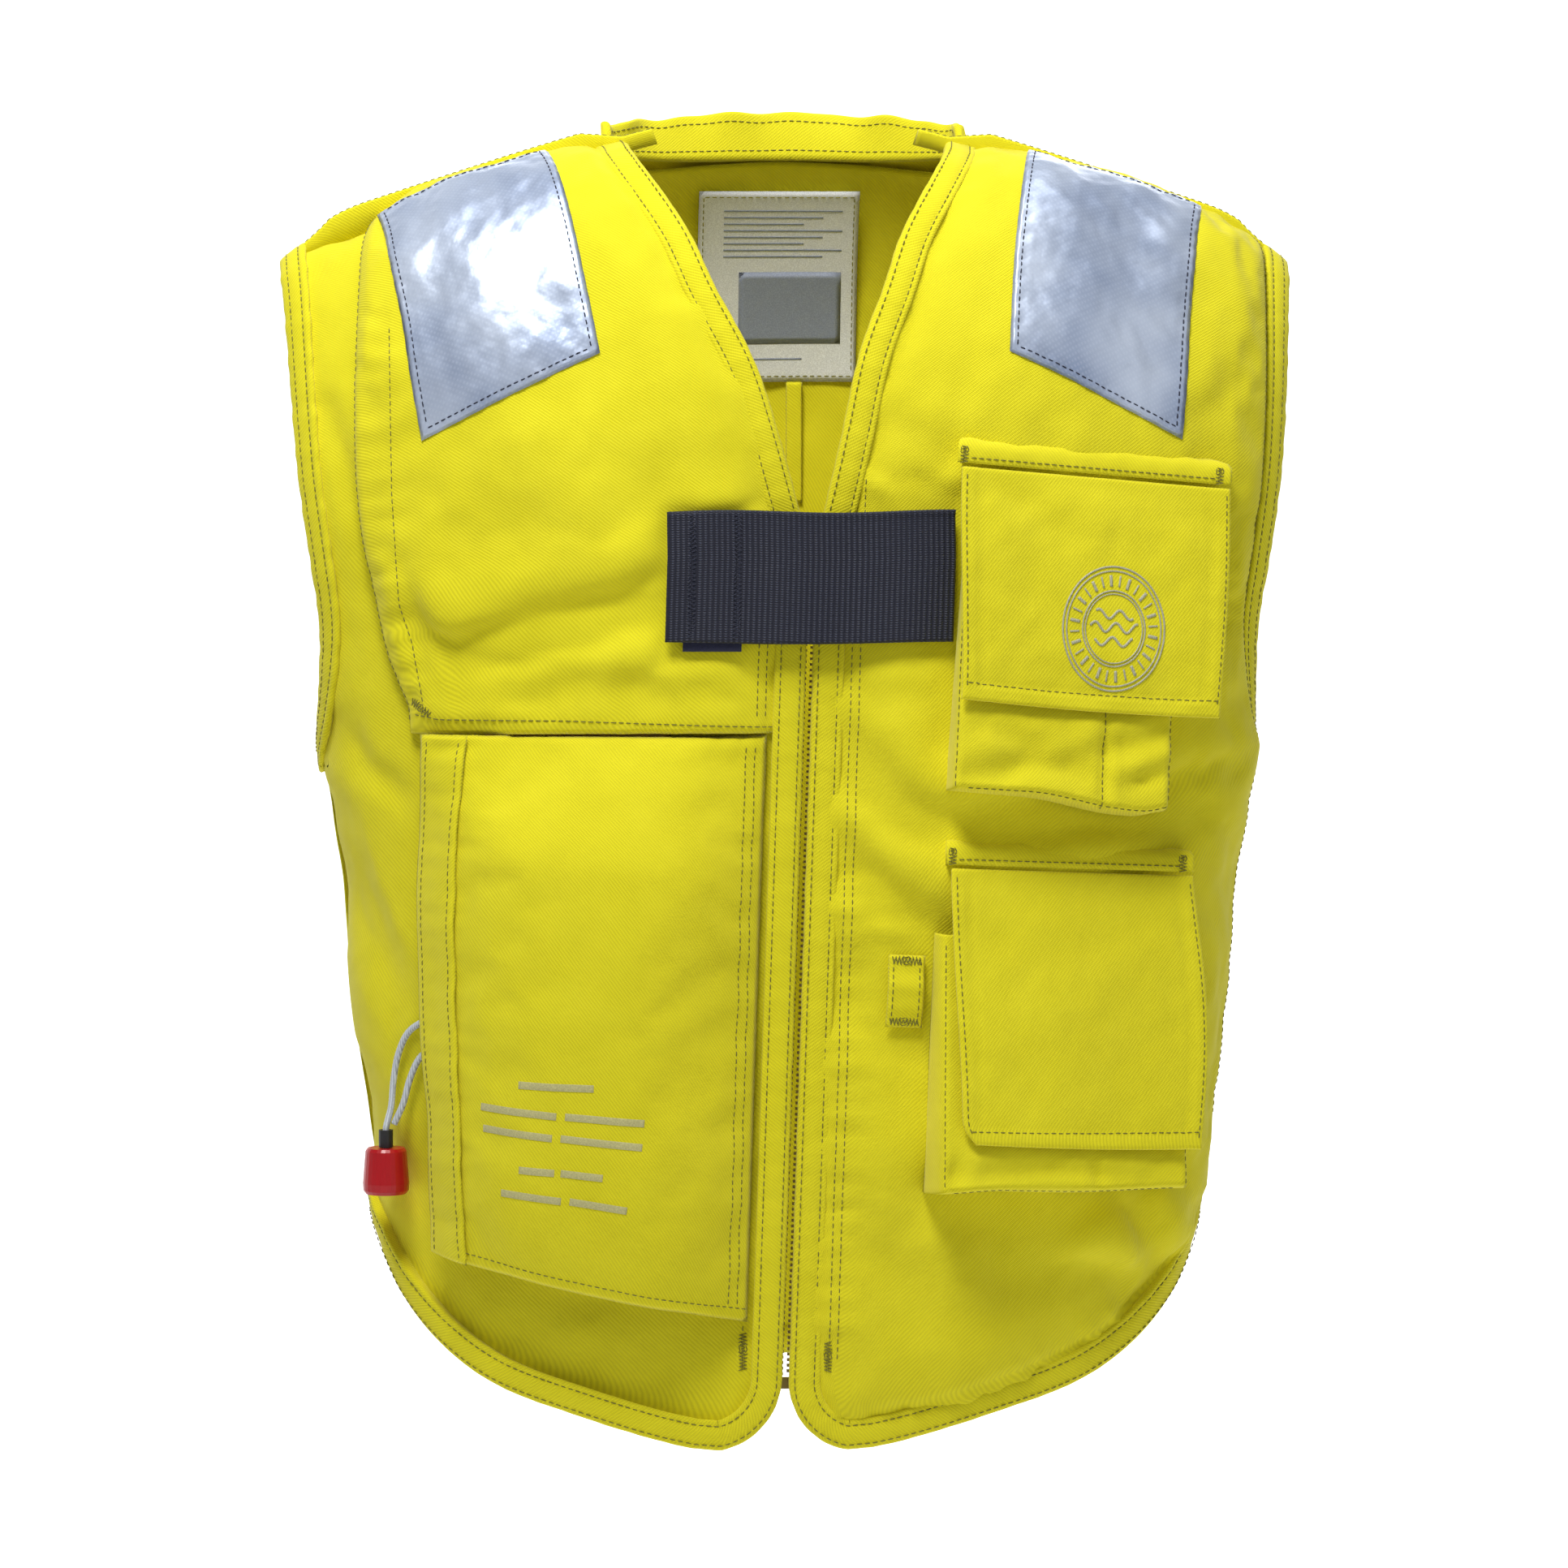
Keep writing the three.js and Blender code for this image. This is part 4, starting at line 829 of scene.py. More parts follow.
def sew():
    """Makes one mesh of each body's stitches in each colour."""
    turns = np.arange(5) * 2 * np.pi / 5
    rings = ((-0.5, 0.35, -0.25), (-0.28, 1.0, 0), (0.28, 1.0, 0), (0.5, 0.35, -0.25))
    for (body, colour), runs in STITCHES.items():
        verts, faces, base = [], [], 0
        for place, along, side, out, length, radius in runs:
            block = [
                place + along * (at * length) + out * sink
                + (side * math.cos(t) + out * math.sin(t)) * (radius * wide)
                for at, wide, sink in rings for t in turns
            ]
            block = np.stack(block, 1)
            verts.append(block.reshape(-1, 3))
            one = [
                (5 * r + k, 5 * r + (k + 1) % 5, 5 * r + 5 + (k + 1) % 5, 5 * r + 5 + k)
                for r in range(3) for k in range(5)
            ]
            ends = [(4, 3, 2, 1, 0), (15, 16, 17, 18, 19)]
            for m in range(len(place)):
                start = base + 20 * m
                faces += [tuple(start + q for q in f) for f in one + ends]
            base += 20 * len(place)
        mesh_object(f"stitching_{body}_{colour}", np.concatenate(verts), faces, body, colour)


def bartack(path, body="vest", width=3.2, colour="thread"):
    """A dense zigzag that locks a seam's end."""
    points, normals = path
    run = resample(points, 0.8)
    out = unit(read_at(np.linspace(0, 1, len(run)), np.linspace(0, 1, len(points)), normals))
    side = unit(np.cross(unit(np.gradient(run, axis=0)), out))
    zigzag = run + side * (width / 2 * np.where(np.arange(len(run)) % 2, 1, -1))[:, None]
    stitch((zigzag, out), body, colour, pitch=1.7, length=2.2, radius=0.28, lift=0.15)

# ---------------------------------------------------------------- the lanyard's two strands

LANYARD = 3.2


def eased(points, count):
    """A smooth curve through points, as evenly spaced points."""
    points = np.array(points, float)
    ends = np.concatenate([[2 * points[0] - points[1]], points, [2 * points[-1] - points[-2]]])
    knots = np.concatenate([[0], np.cumsum(np.linalg.norm(np.diff(ends, axis=0), axis=1) ** 0.5)])
    made = []
    for k in range(1, len(ends) - 2):
        p0, p1, p2, p3 = ends[k - 1 : k + 3]
        t0, t1, t2, t3 = knots[k - 1 : k + 3]
        for t in np.linspace(t1, t2, 12, endpoint=False):
            a1 = (t1 - t) / (t1 - t0) * p0 + (t - t0) / (t1 - t0) * p1
            a2 = (t2 - t) / (t2 - t1) * p1 + (t - t1) / (t2 - t1) * p2
            a3 = (t3 - t) / (t3 - t2) * p2 + (t - t2) / (t3 - t2) * p3
            b1 = (t2 - t) / (t2 - t0) * a1 + (t - t0) / (t2 - t0) * a2
            b2 = (t3 - t) / (t3 - t1) * a2 + (t - t1) / (t3 - t1) * a3
            made.append((t2 - t) / (t2 - t1) * b1 + (t - t1) / (t2 - t1) * b2)
    made.append(points[-1])
    made = np.array(made)
    total = np.sum(np.linalg.norm(np.diff(made, axis=0), axis=1))
    return resample(made, total / count)


def tube(name, verts, body, material, slot, *replaced, closed=False, caps=True):
    """A closed tube from its rings of points."""
    count, sides = verts.shape[:2]
    index = np.arange(count * sides).reshape(count, sides)
    index = np.concatenate([index, index[:, :1]], 1)
    if closed:
        index = np.concatenate([index, index[:1]], 0)
    ring = verts[count // 2]
    around = distances(ring)
    run = distances(verts.mean(1))
    uv = np.stack(np.broadcast_arrays(around[None, :], run[:, None]), -1).reshape(-1, 2) * MM
    mid = count // 2
    ahead, around_step = verts[mid] - verts[mid - 1], np.roll(verts[mid], -1, 0) - verts[mid]
    outward = verts[mid] - verts[mid].mean(0)
    flipped = np.sum(np.cross(around_step, ahead) * outward) < 0
    faces = grid_faces(index, flipped).tolist()
    if caps and not closed:
        first, last = list(range(sides)), list(range((count - 1) * sides, count * sides))
        faces += [first if flipped else first[::-1], last[::-1] if flipped else last]
    obj = mesh_object(name, verts.reshape(-1, 3), faces, body, material, uv)
    if replaced:
        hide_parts(*replaced)
    return obj


def braid(name, points, body, *replaced):
    """A braided cord: its section is cut by crossing strands that wind both ways."""
    path = eased(points, 190)
    along = unit(np.gradient(path, axis=0))
    side = unit(np.cross(along, [0.31, 0.9, 0.3]))
    up = np.cross(side, along)
    turns = np.linspace(0, 2 * np.pi, 17)[:-1]
    run = distances(path)[:, None]
    over = np.cos(4 * turns[None, :] + run * 1.6) * np.cos(4 * turns[None, :] - run * 1.6)
    radius = LANYARD / 2 * (0.94 + 0.07 * over)
    verts = path[:, None] + radius[..., None] * (
        side[:, None] * np.cos(turns)[None, :, None] + up[:, None] * np.sin(turns)[None, :, None]
    )
    obj = tube(name, verts, body, "cord", "cord_braid", *replaced)


LEVER_EYE = np.array([-122.294, -107.274, -357.160])
TOGGLE_TOP = on_front(-178, -464, 15.5)
braid(
    "lanyard_front_braid",
    [LEVER_EYE + (-1.6, -0.5, -4.9), LEVER_EYE + (-2.4, -0.3, -16)]
    + [on_front(*row) for row in (
        (-121, -387, 20), (-136, -394, 13), (-148, -396, 8), (-158, -398, 6), (-167, -401, 5.6),
        (-175, -407, 5.8), (-179, -417, 6.4), (-180.4, -430, 7.6), (-179.6, -442, 10.2),
    )]
    + [TOGGLE_TOP + (0, 0, 12), TOGGLE_TOP + (0, 0, 5), TOGGLE_TOP + (0, 0, -2)],
    "lanyard", "lanyard_front_strand",
)
braid(
    "lanyard_return_braid",
    [LEVER_EYE + (3.2, -0.5, -5.8), LEVER_EYE + (2.6, -0.3, -20)]
    + [on_front(*row) for row in (
        (-116, -397, 17), (-131, -405, 12), (-144, -408, 8), (-155, -410, 6), (-163, -413, 5.6),
        (-170, -419, 6), (-173.6, -429, 7.2), (-175, -440, 9.4),
    )]
    + [TOGGLE_TOP + (3.9, 0, 14.5)],
    "lanyard", "lanyard_return_strand",
)

# ---------------------------------------------------------------- the two chest covers and the linings


def cover_points(side, columns, rows, outer, bottom, lift, margin=6.0, top=0.3):
    """Grid of (angle, down) over one front, and its points at a lift from the form."""
    u, v = np.linspace(0, 1, columns), np.linspace(0, 1, rows)
    down = lerp(top, np.asarray(bottom(u))[None, :], v[:, None])
    soft = sum(outer(down + k) for k in range(-28, 29, 7)) / 9
    reach = lerp(soft, outer(down), u[None, :] ** 8)
    angle = lerp(edge_angle(down, margin), reach, u[None, :])
    return side * angle, down, lay(side * angle, down, lift(angle, down))


def to_hem(outer, margin):
    """The lower edge of a cloth that ends a margin above the hem."""
    def bottom(u):
        down = np.full_like(u, 600.0)
        for _ in range(30):
            angle = lerp(edge_angle(down, margin), outer(down), u)
            down = (down + hem_limit(angle, margin)) / 2
        return down
    return bottom


def to_height(z, outer):
    """The lower edge of a cloth that ends at a height."""
    def bottom(u):
        angle = lerp(edge_angle(310.0, 6), outer(310.0), u)
        return down_of(ridge(half_width(310) * np.sin(np.radians(angle))) - z)
    return bottom


def front_swell(outer):
    """The lift of a chest cover that ends at an outer angle."""
    return lambda angle, down: CLOTH + swell(
        (angle - edge_angle(down, 15.7)) * degree(angle, down),
        (outer(down) - angle) * degree(angle, down),
        hem_limit(angle, 15.7) - down,
    )


# Where something flat lies on the chest: x from and to, z from and to.
FLAT_SPOTS = [(-58, -30, -170, -230), (6, 72, -162, -230), (38, 60, -366, -408)]


def flatness(p):
    """1 where something flat lies on the cloth, falling to 0 over 14 mm round it."""
    x, z = p[..., 0], p[..., 2]
    over = [np.maximum.reduce([a - x, x - b, z - top, low - z]) for a, b, top, low in FLAT_SPOTS]
    return 1 - smooth(np.minimum.reduce(over) / 14)


def sewn_down(p):
    """1 where a chest cover is held in place as it settles: along its edges and under what lies on it."""
    u, v = cloth_lengths(p)
    edges = np.minimum.reduce([u, u[:, -1:] - u, v + 9, v[-1:] - v]) < 5
    return (edges | (flatness(p) > 0.6)).astype(float)


def shaped(p, outward, strokes=(), seams=(), rough=(48, 2.2, 0.0)):
    """Folds, puckers and soft unevenness, pushed out along the cloth's normal."""
    x, z = p[..., 0], p[..., 2]
    height = 3.0 * folds(x, z, strokes) + rumple(p, *rough)
    height = np.where(height < 0, 3.4, 6.0) * np.tanh(height / np.where(height < 0, 3.4, 6.0))
    for seam in seams:
        height += puckers(x, z, *seam)
    u, v = cloth_lengths(p)
    inside = np.minimum.reduce([u, u[:, -1:] - u, v + 9, v[-1:] - v])
    height *= smooth(inside / 16 + 0.05)
    height = lerp(height, np.minimum(height, 0) * 0.3 - 0.9, flatness(p))
    return p + unit(outward) * height[..., None]


right_swell, left_swell = front_swell(right_outer), front_swell(left_outer)

RIGHT_STROKES = [
    ([(-179, -216), (-157, -229), (-127, -228)], 8, 2.6),
    ([(-161, -240), (-138, -228), (-105, -220), (-71, -210), (-38, -191)], 13, 3.4),
    ([(-179, -191), (-172, -213), (-173, -239)], 6, 1.6),
    ([(-157, -252), (-105, -245), (-45, -249)], 10, 1.4),
    ([(-105, -42), (-83, -87), (-53, -139)], 26, 1.2),
    ([(-168, -139), (-142, -168), (-127, -198)], 20, 1.0),
]
a, d, p = cover_points(-1, 61, 121, right_outer, to_height(WAIST_SEAM - 0.8, right_outer), right_swell)
out = form_normal(a, d)
p = shaped(p, out, RIGHT_STROKES, [
    ([(-164, -261), (-105, -262), (-8, -264)], 11, 0.5, 12),
    ([(-198, -67), (-205, -115), (-194, -174), (-194, -200), (-178, -259)], 12, 0.55, 13),
])
p = settle(p, out, sewn_down(p), 1.2, 0.012, 3.0)
chest_right = Cloth(p, out)
obj = chest_right.build("right_chest_cloth", 1.7, "vest", "twill", "yellow_twill", "right_chest_cover")

LEFT_STROKES = [
    ([(22, -131), (40, -144), (66, -168)], 9, 2.6),
    ([(23, -150), (33, -168)], 6, 1.8),
    ([(35, -122), (51, -133), (68, -139)], 9, 1.8),
    ([(22, -276), (40, -295), (63, -321)], 11, 3.0),
    ([(23, -321), (40, -343), (63, -356)], 10, 2.8),
    ([(22, -369), (36, -395), (55, -410)], 12, 2.4),
    ([(63, -306), (92, -307), (129, -302), (182, -308)], 10, 3.2),
    ([(118, -310), (156, -302), (185, -288)], 9, 2.2),
    ([(63, -480), (111, -488), (163, -474)], 14, 3.0),
    ([(156, -477), (164, -496), (170, -511)], 8, 2.6),
    ([(148, -522), (159, -529), (167, -522)], 9, 2.2),
    ([(74, -511), (118, -522), (156, -540)], 22, 2.0),
    ([(29, -488), (44, -518), (48, -548)], 16, 1.4),
    ([(74, -42), (63, -87), (44, -124)], 26, 1.4),
    ([(193, -124), (196, -168), (193, -213)], 12, 1.4),
]
a, d, p = cover_points(1, 71, 221, left_outer, to_hem(left_outer, 6), left_swell)
out = form_normal(a, d)
p = shaped(p, out, LEFT_STROKES, [
    ([(23, -321), (22, -414), (14, -559)], 12, 0.5, 12),
    ([(196, -161), (195, -221)], 10, 0.6, 14),
    ([(14, -585), (81, -580), (156, -544)], 13, 0.6, 14),
])
p = settle(p, out, sewn_down(p), 1.2, 0.014, 3.2)
chest_left = Cloth(p, out)
obj = chest_left.build("left_chest_cloth", 1.7, "vest", "twill", "yellow_twill", "left_chest_cover")


def side_seam(down):
    """Where the fronts and the back end: 4.5 mm inside the armhole's rim, and the side seam below it."""
    return outer_angle(down, 4.5)


def flat_lift(angle, down):
    """The linings and the back lie flat on the form."""
    return np.full(angle.shape, CLOTH - 0.1)


def lining(side, name, node, strokes):
    """The lining of one front, from its bound edge to the side seam."""
    a, d, p = cover_points(side, 81, 161, side_seam, to_hem(side_seam, 6), flat_lift)
    out = form_normal(a, d)
    x, z = p[..., 0], p[..., 2]
    p = p + out * np.clip(2.2 * folds(x, z, strokes) + rumple(p, 40, 1.4, side), -4.5, 0.8)[..., None]
    made = Cloth(p, out)
    made.build(name, 1.7, "vest", "twill", "yellow_lining", node)
    return made


front_right = lining(-1, "right_front_cloth", "right_front_panel", [
    ([(-215, -119), (-200, -168), (-194, -200)], 6, 1.5),
    ([(-213, -302), (-200, -343), (-179, -388)], 9, 1.6),
    ([(-209, -265), (-198, -284), (-183, -297)], 7, 1.5),
    ([(-207, -336), (-198, -369), (-187, -399)], 8, 1.4),
    ([(-202, -425), (-194, -459), (-179, -488)], 8, 1.2),
    ([(-163, -511), (-105, -526), (-17, -540)], 14, 1.4),
    ([(-157, -540), (-105, -559), (-45, -567)], 18, 1.2),
])
lining(1, "left_front_cloth", "left_front_panel", [
    ([(193, -250), (185, -288), (189, -325)], 8, 1.5),
])

# ---------------------------------------------------------------- the back


def back_points(columns, rows, bottom, outer, room, lift):
    """Grid of (angle, down) over the back, and its points at a lift from the form."""
    swing, v = np.linspace(-1, 1, columns), np.linspace(0, 1, rows)
    drop = neck_drop(np.abs(swing) * 214)
    top = np.where(drop > 0, drop + room, 0.3)
    down = lerp(top[None, :], bottom(np.abs(swing))[None, :], v[:, None])
    soft = sum(outer(down + k) for k in range(-28, 29, 7)) / 9
    inside = swing[None, :] * lerp(soft, outer(down), swing[None, :] ** 8)
    angle = 180 - np.abs(inside)
    side = np.where(swing >= 0, -1, 1)[None, :]
    return side * angle, down, lay(side * angle, down, lift(angle, down))


a, d, p = back_points(
    121, 121, lambda swing: hem_limit(180 - swing * 90, 6), side_seam, 1.5, flat_lift,
)
out = form_normal(a, d)
x, z = p[..., 0], p[..., 2]
back_folds = folds(x, z, [
    ([(-150, -250), (-90, -300), (-20, -330)], 16, 2.6), ([(150, -260), (90, -330), (30, -350)], 15, 2.4),
    ([(-160, -360), (-90, -400), (-40, -470)], 15, 2.2), ([(165, -380), (110, -430), (60, -520)], 14, 2.2),
    ([(-60, -200), (0, -230), (70, -205)], 18, 1.6), ([(-30, -400), (-10, -480), (-20, -560)], 20, 1.6),
])
p = p + out * np.clip(back_folds + rumple(p, 50, 0.9, 5.0), -3.0, 2.2)[..., None]
back_cloth = Cloth(p, out)
back_cloth.build("back_cloth", 1.7, "vest", "twill", "yellow_lining", "back_panel")


def back_swell(angle, down):
    """The lift of the back yoke."""
    x = half_width(down) * np.sin(np.radians(angle))
    return CLOTH + swell(
        (yoke_outer(down) - (180 - angle)) * degree(angle, down),
        np.where(x < BACK_NECK_HALF, down - neck_drop(x) - 5, 99),
        YOKE_LENGTH - down,
    )


a, d, p = back_points(131, 61, lambda swing: np.full(swing.shape, 188.0), yoke_outer, 2.5, back_swell)
out = form_normal(a, d)
p = shaped(p, out, [([(-110, -60), (-40, -100), (40, -98), (110, -55)], 20, 1.4)], [
    ([(-150, -122), (0, -136), (150, -122)], 12, 0.5, 12),
])
u, v = cloth_lengths(p)
held = (np.minimum.reduce([u, u[:, -1:] - u, v, v[-1:] - v]) < 5).astype(float)
p = settle(p, out, held, 1.0, 0.012, 2.6)
yoke_cloth = Cloth(p, out)
yoke_cloth.build("back_yoke_cloth", 1.7, "vest", "twill", "yellow_twill", "back_yoke")
for f in (0.012, 0.988):
    stitch(yoke_cloth.column(f, 0.03, 0.98, 90))
for f in (0.965, 0.93):
    stitch(yoke_cloth.row(f, 0.015, 0.985, 220))

# ---------------------------------------------------------------- bound edges


def edge_frame(line, side, step=2.2):
    """Points, the way inwards over the cloth, and the way out, along a line of (angle, down)."""
    at = form_point(side * line[:, 0], line[:, 1])
    length = distances(at)
    places = np.arange(0, length[-1], step)
    angle, down = np.interp(places, length, line[:, 0]), np.interp(places, length, line[:, 1])
    points = form_point(side * angle, down)
    out = form_normal(side * angle, down)
    along = unit(np.gradient(points, axis=0))
    across = unit(np.cross(along, out)) * side
    middle = form_point(side * np.minimum(angle + 6, 89), np.minimum(down, 540))
    flip = np.where(np.sum(across * (middle - points), -1, keepdims=True) < 0, -1, 1)
    return points, across * np.sign(np.sum(flip)), out


def tape(name, edge, low, high, node, inner_high=None):
    """A folded tape: rounded at its free edge, flat on top, thinner where it is stitched down."""
    points, across, out = edge
    width, ripple = BINDING_WIDTH, 0.25
    top = high if inner_high is None else inner_high
    section = np.array([
        (0.3, low + 1.6), (0.0, (low + high) / 2), (0.3, high - 1.5), (1.3, high - 0.45), (3.0, high),
        (width * 0.5, high + 0.1), (width - 3.8, top), (width - 2.9, top - 0.55), (width - 1.9, top - 0.1),
        (width - 0.5, top - 0.25), (width, top - 1.1), (width - 0.2, top - 2.0), (width - 1.5, low + 0.4),
        (width * 0.5, low), (1.4, low + 0.2),
    ])
    wave = np.arange(len(points))
    lumps = ripple * (np.sin(wave * 0.83) + 0.7 * np.sin(wave * 0.37 + 1) + 0.6 * np.sin(wave * 1.71 + 2))
    on_top, at_edge = section[:, 1] > (low + high) / 2, section[:, 0] < 2
    height = section[None, :, 1] + on_top[None] * lumps[:, None] * 0.5
    reach = section[None, :, 0] + at_edge[None] * lumps[:, None] * 0.35
    verts = carried(points, across, out, np.stack([reach, height], -1))
    tube(name, verts, "vest", "twill_cross", "yellow_twill", node)


for side, word in SIDES:
    points, across, out = edge_frame(EDGE, side)
    tape(
        f"{word}_front_tape", (points, across, out), -0.8, 6.9, f"{word}_front_binding", inner_high=7.3,
    )
    stitch((points + across * (BINDING_WIDTH - STITCH_IN) + out * 6.9, out))
    stitch((points + across * 2.6 + out * 7.1, out), pitch=3.7)

hem = np.stack([np.arange(89.4, 180.6, 1.0), hem_down(np.arange(89.4, 180.6, 1.0))], -1)
hem = np.concatenate([hem, np.stack([360 - hem[::-1, 0][1:], hem[::-1, 1][1:]], -1)])
points = form_point(np.where(hem[:, 0] > 180, hem[:, 0] - 360, hem[:, 0]), hem[:, 1])
points = resample(points, 2.4)
middle = np.array([0, 0, -300.0])
along = unit(np.gradient(points, axis=0))
out = unit(np.stack([points[:, 0], points[:, 1] * 1.6, np.zeros(len(points))], -1))
out = unit(out - along * np.sum(out * along, -1, keepdims=True))
up = unit(np.cross(along, out))
up *= np.sign(np.sum(up[:, 2]))
tape("back_hem_tape", (points, up, out), -1.0, 4.4, "back_hem_binding")
stitch((points + up * (BINDING_WIDTH - STITCH_IN) + out * 4.2, out))

for side, word in SIDES:
    t = np.linspace(0, 1, 241)[:-1]
    turn = 2 * np.pi * t
    down = ARMHOLE_BOTTOM / 2 * (1 - np.cos(turn))
    rim = armhole(down)
    front = np.sin(turn) >= 0
    angle, down = side * np.where(front, rim, 180 - rim), np.maximum(down, 0.5)
    points, out = lay(angle, down, 2.0 + 0 * down), form_normal(angle, np.maximum(down, 14))
    both = np.concatenate([points, points[:1]])
    length = distances(both)
    places = np.linspace(0, length[-1], int(length[-1] / 2.6) + 1)[:-1]
    points = read_at(places, length, both)
    out = read_at(places, length, np.concatenate([out, out[:1]]))
    for _ in range(3):
        points = (np.roll(points, 1, 0) + 2 * points + np.roll(points, -1, 0)) / 4
    for _ in range(60):
        out = (np.roll(out, 1, 0) + 2 * out + np.roll(out, -1, 0)) / 4
    along = unit(np.roll(points, -1, 0) - np.roll(points, 1, 0))
    out = unit(out - along * np.sum(out * along, -1, keepdims=True))
    inwards = np.cross(along, out)
    inwards *= np.sign(np.sum(inwards * (points.mean(0) - points)))
    section = np.array([
        (6.4, 0), (6.2, 1.3), (5.2, 2.4), (3.4, 2.9), (0, 3.1), (-4.6, 3.3), (-5.4, 2.8), (-6.2, 3.2),
        (-8.2, 2.9), (-8.8, 2.0), (-8.4, 0.4), (-4, -2.6), (2, -3.0), (5.4, -2.2), (6.3, -1.2),
    ])
    wave = np.arange(len(points)) * 2 * np.pi / len(points)
    lumps = 0.3 * (np.sin(37 * wave) + 0.7 * np.sin(61 * wave + 1) + 0.5 * np.sin(23 * wave + 2))
    verts = carried(points, inwards, out, section[None] * (1 + 0.09 * lumps[:, None, None]))
    tube(
        f"{word}_armhole_tape", verts, "vest", "twill_cross", "yellow_twill", f"{word}_armhole_binding",
        closed=True,
    )
    for reach, height in ((-5.4, 3.0), (1.2, 3.1)):
        stitch((points + inwards * reach + out * height, out))

# A seam bar over each shoulder joins the front to the back.
for side, word in SIDES:
    x = np.linspace(60, 226, 84)
    base = np.stack([side * x, np.zeros_like(x), ridge(x)], -1)
    angle = angle_at(x, 0.3)
    cover, swelling = (right_outer, right_swell) if side < 0 else (left_outer, left_swell)
    rising = np.maximum(
        np.where(angle < cover(0.3), swelling(angle, 0.3), CLOTH),
        np.where(angle < yoke_outer(0.3), back_swell(180 - angle, np.full_like(angle, 0.3)), CLOTH),
    ) + 1.6
    rising = softened(rising, 9)
    normal = unit(np.stack([side * SHOULDER_SLOPE + 0 * x, 0 * x, 1 + 0 * x], -1))
    section = np.array(rounded(5.2, -1.6, 1.3, 1.2))
    along = unit(np.gradient(base, axis=0))
    across = np.cross(along, normal)
    lift = np.where(section[None, :, 1] < 0, 1.4, rising[:, None] + section[None, :, 1])
    reach = np.broadcast_to(section[:, 0], lift.shape)
    verts = carried(base, across, normal, np.stack([reach, lift], -1))
    tube(f"{word}_shoulder_seam", verts, "vest", "twill_cross", "yellow_twill")
    for reach in (-3.6, 3.6):
        stitch((base + normal * (rising[:, None] + 1.35) + across * reach, normal))

# ---------------------------------------------------------------- the collar band

COLLAR_TALL, COLLAR_HALF_THICK = 20, 2.2
t = np.linspace(-1, 1, 121)
x = BACK_NECK_HALF * np.sin(t * np.pi / 2)
down = BACK_NECK_DOWN * np.sqrt(np.clip(1 - (x / BACK_NECK_HALF) ** 2, 0, None)) + 1
base = lay(180 - angle_at(x, down), down, np.zeros_like(x))
along = unit(np.gradient(base, axis=0))
up = unit(np.array([0, 0.25, 1.0]))
out = unit(np.cross(along, up))
out *= np.sign(out[60, 1])
tall = COLLAR_TALL * (0.55 + 0.45 * np.sin(np.pi * np.clip((t + 1) / 2, 0.1, 0.9)))
tall = tall + 0.5 * np.sin(t * 17) + 0.35 * np.sin(t * 31 + 1)
lean_out = 1.4 * np.sin(t * 11) + 0.8 * np.sin(t * 23 + 2)
face = [(COLLAR_HALF_THICK + 0.25 * math.sin(k * math.pi / 8), k / 8) for k in range(9)]
turns = [math.pi * k / 6 for k in range(1, 6)]
rim = [(-COLLAR_HALF_THICK * math.cos(turn), 1 + 0.1 * math.sin(turn)) for turn in turns]
section = np.array([(-across, rise) for across, rise in face] + rim + face[::-1])
verts = base[:, None] + up * (1.5 + section[None, :, 1:] * (tall[:, None, None] + 1.5)) + out[:, None] * (
    section[None, :, :1] + section[None, :, 1:] ** 2 * lean_out[:, None, None]
)
tube("collar_cloth", verts, "vest", "twill", "yellow_twill", "collar_band")
for sign in (-1, 1):
    for rise in (0.2, 0.86):
        row = base + up * (1.5 + rise * (tall[:, None] + 1.5))
        row = row + out * (sign * 2.4 + rise**2 * lean_out[:, None])
        stitch((row[4:-4], (out * sign)[4:-4]))

# ---------------------------------------------------------------- stitching on the chest

for made in (chest_right, chest_left):
    stitch(made.column(0.985, 0.02, 0.985, 260))
stitch(chest_right.under([(-186, -81), (-185, -158), (-182, -208), (-176, -226), (-171, -254)]))
stitch(chest_right.under([(-175, -259), (-164, -261), (-105, -261), (-8, -264)]), lift=0.2)
bartack(chest_right.under([(-176, -253), (-168, -259)]))
for seam in (-23.5, -19.6):
    stitch(chest_right.under([(seam + zip_lean(z), z) for z in (-190.0, -230.0, -262.0)]))
for seam in (19.4, 23.2):
    heights = (-150.0, -250.0, -350.0, -450.0, -557.0)
    stitch(chest_left.under([(seam + zip_lean(z), z) for z in heights]))
bartack(chest_left.under([(14.4, -548), (14.4, -562)]))
bartack(front_right.under([(-24.5, -545), (-24.5, -562)]))
stitch(front_right.under([(-24.5, -541), (-25, -562)]))

# ---------------------------------------------------------------- reflective patches


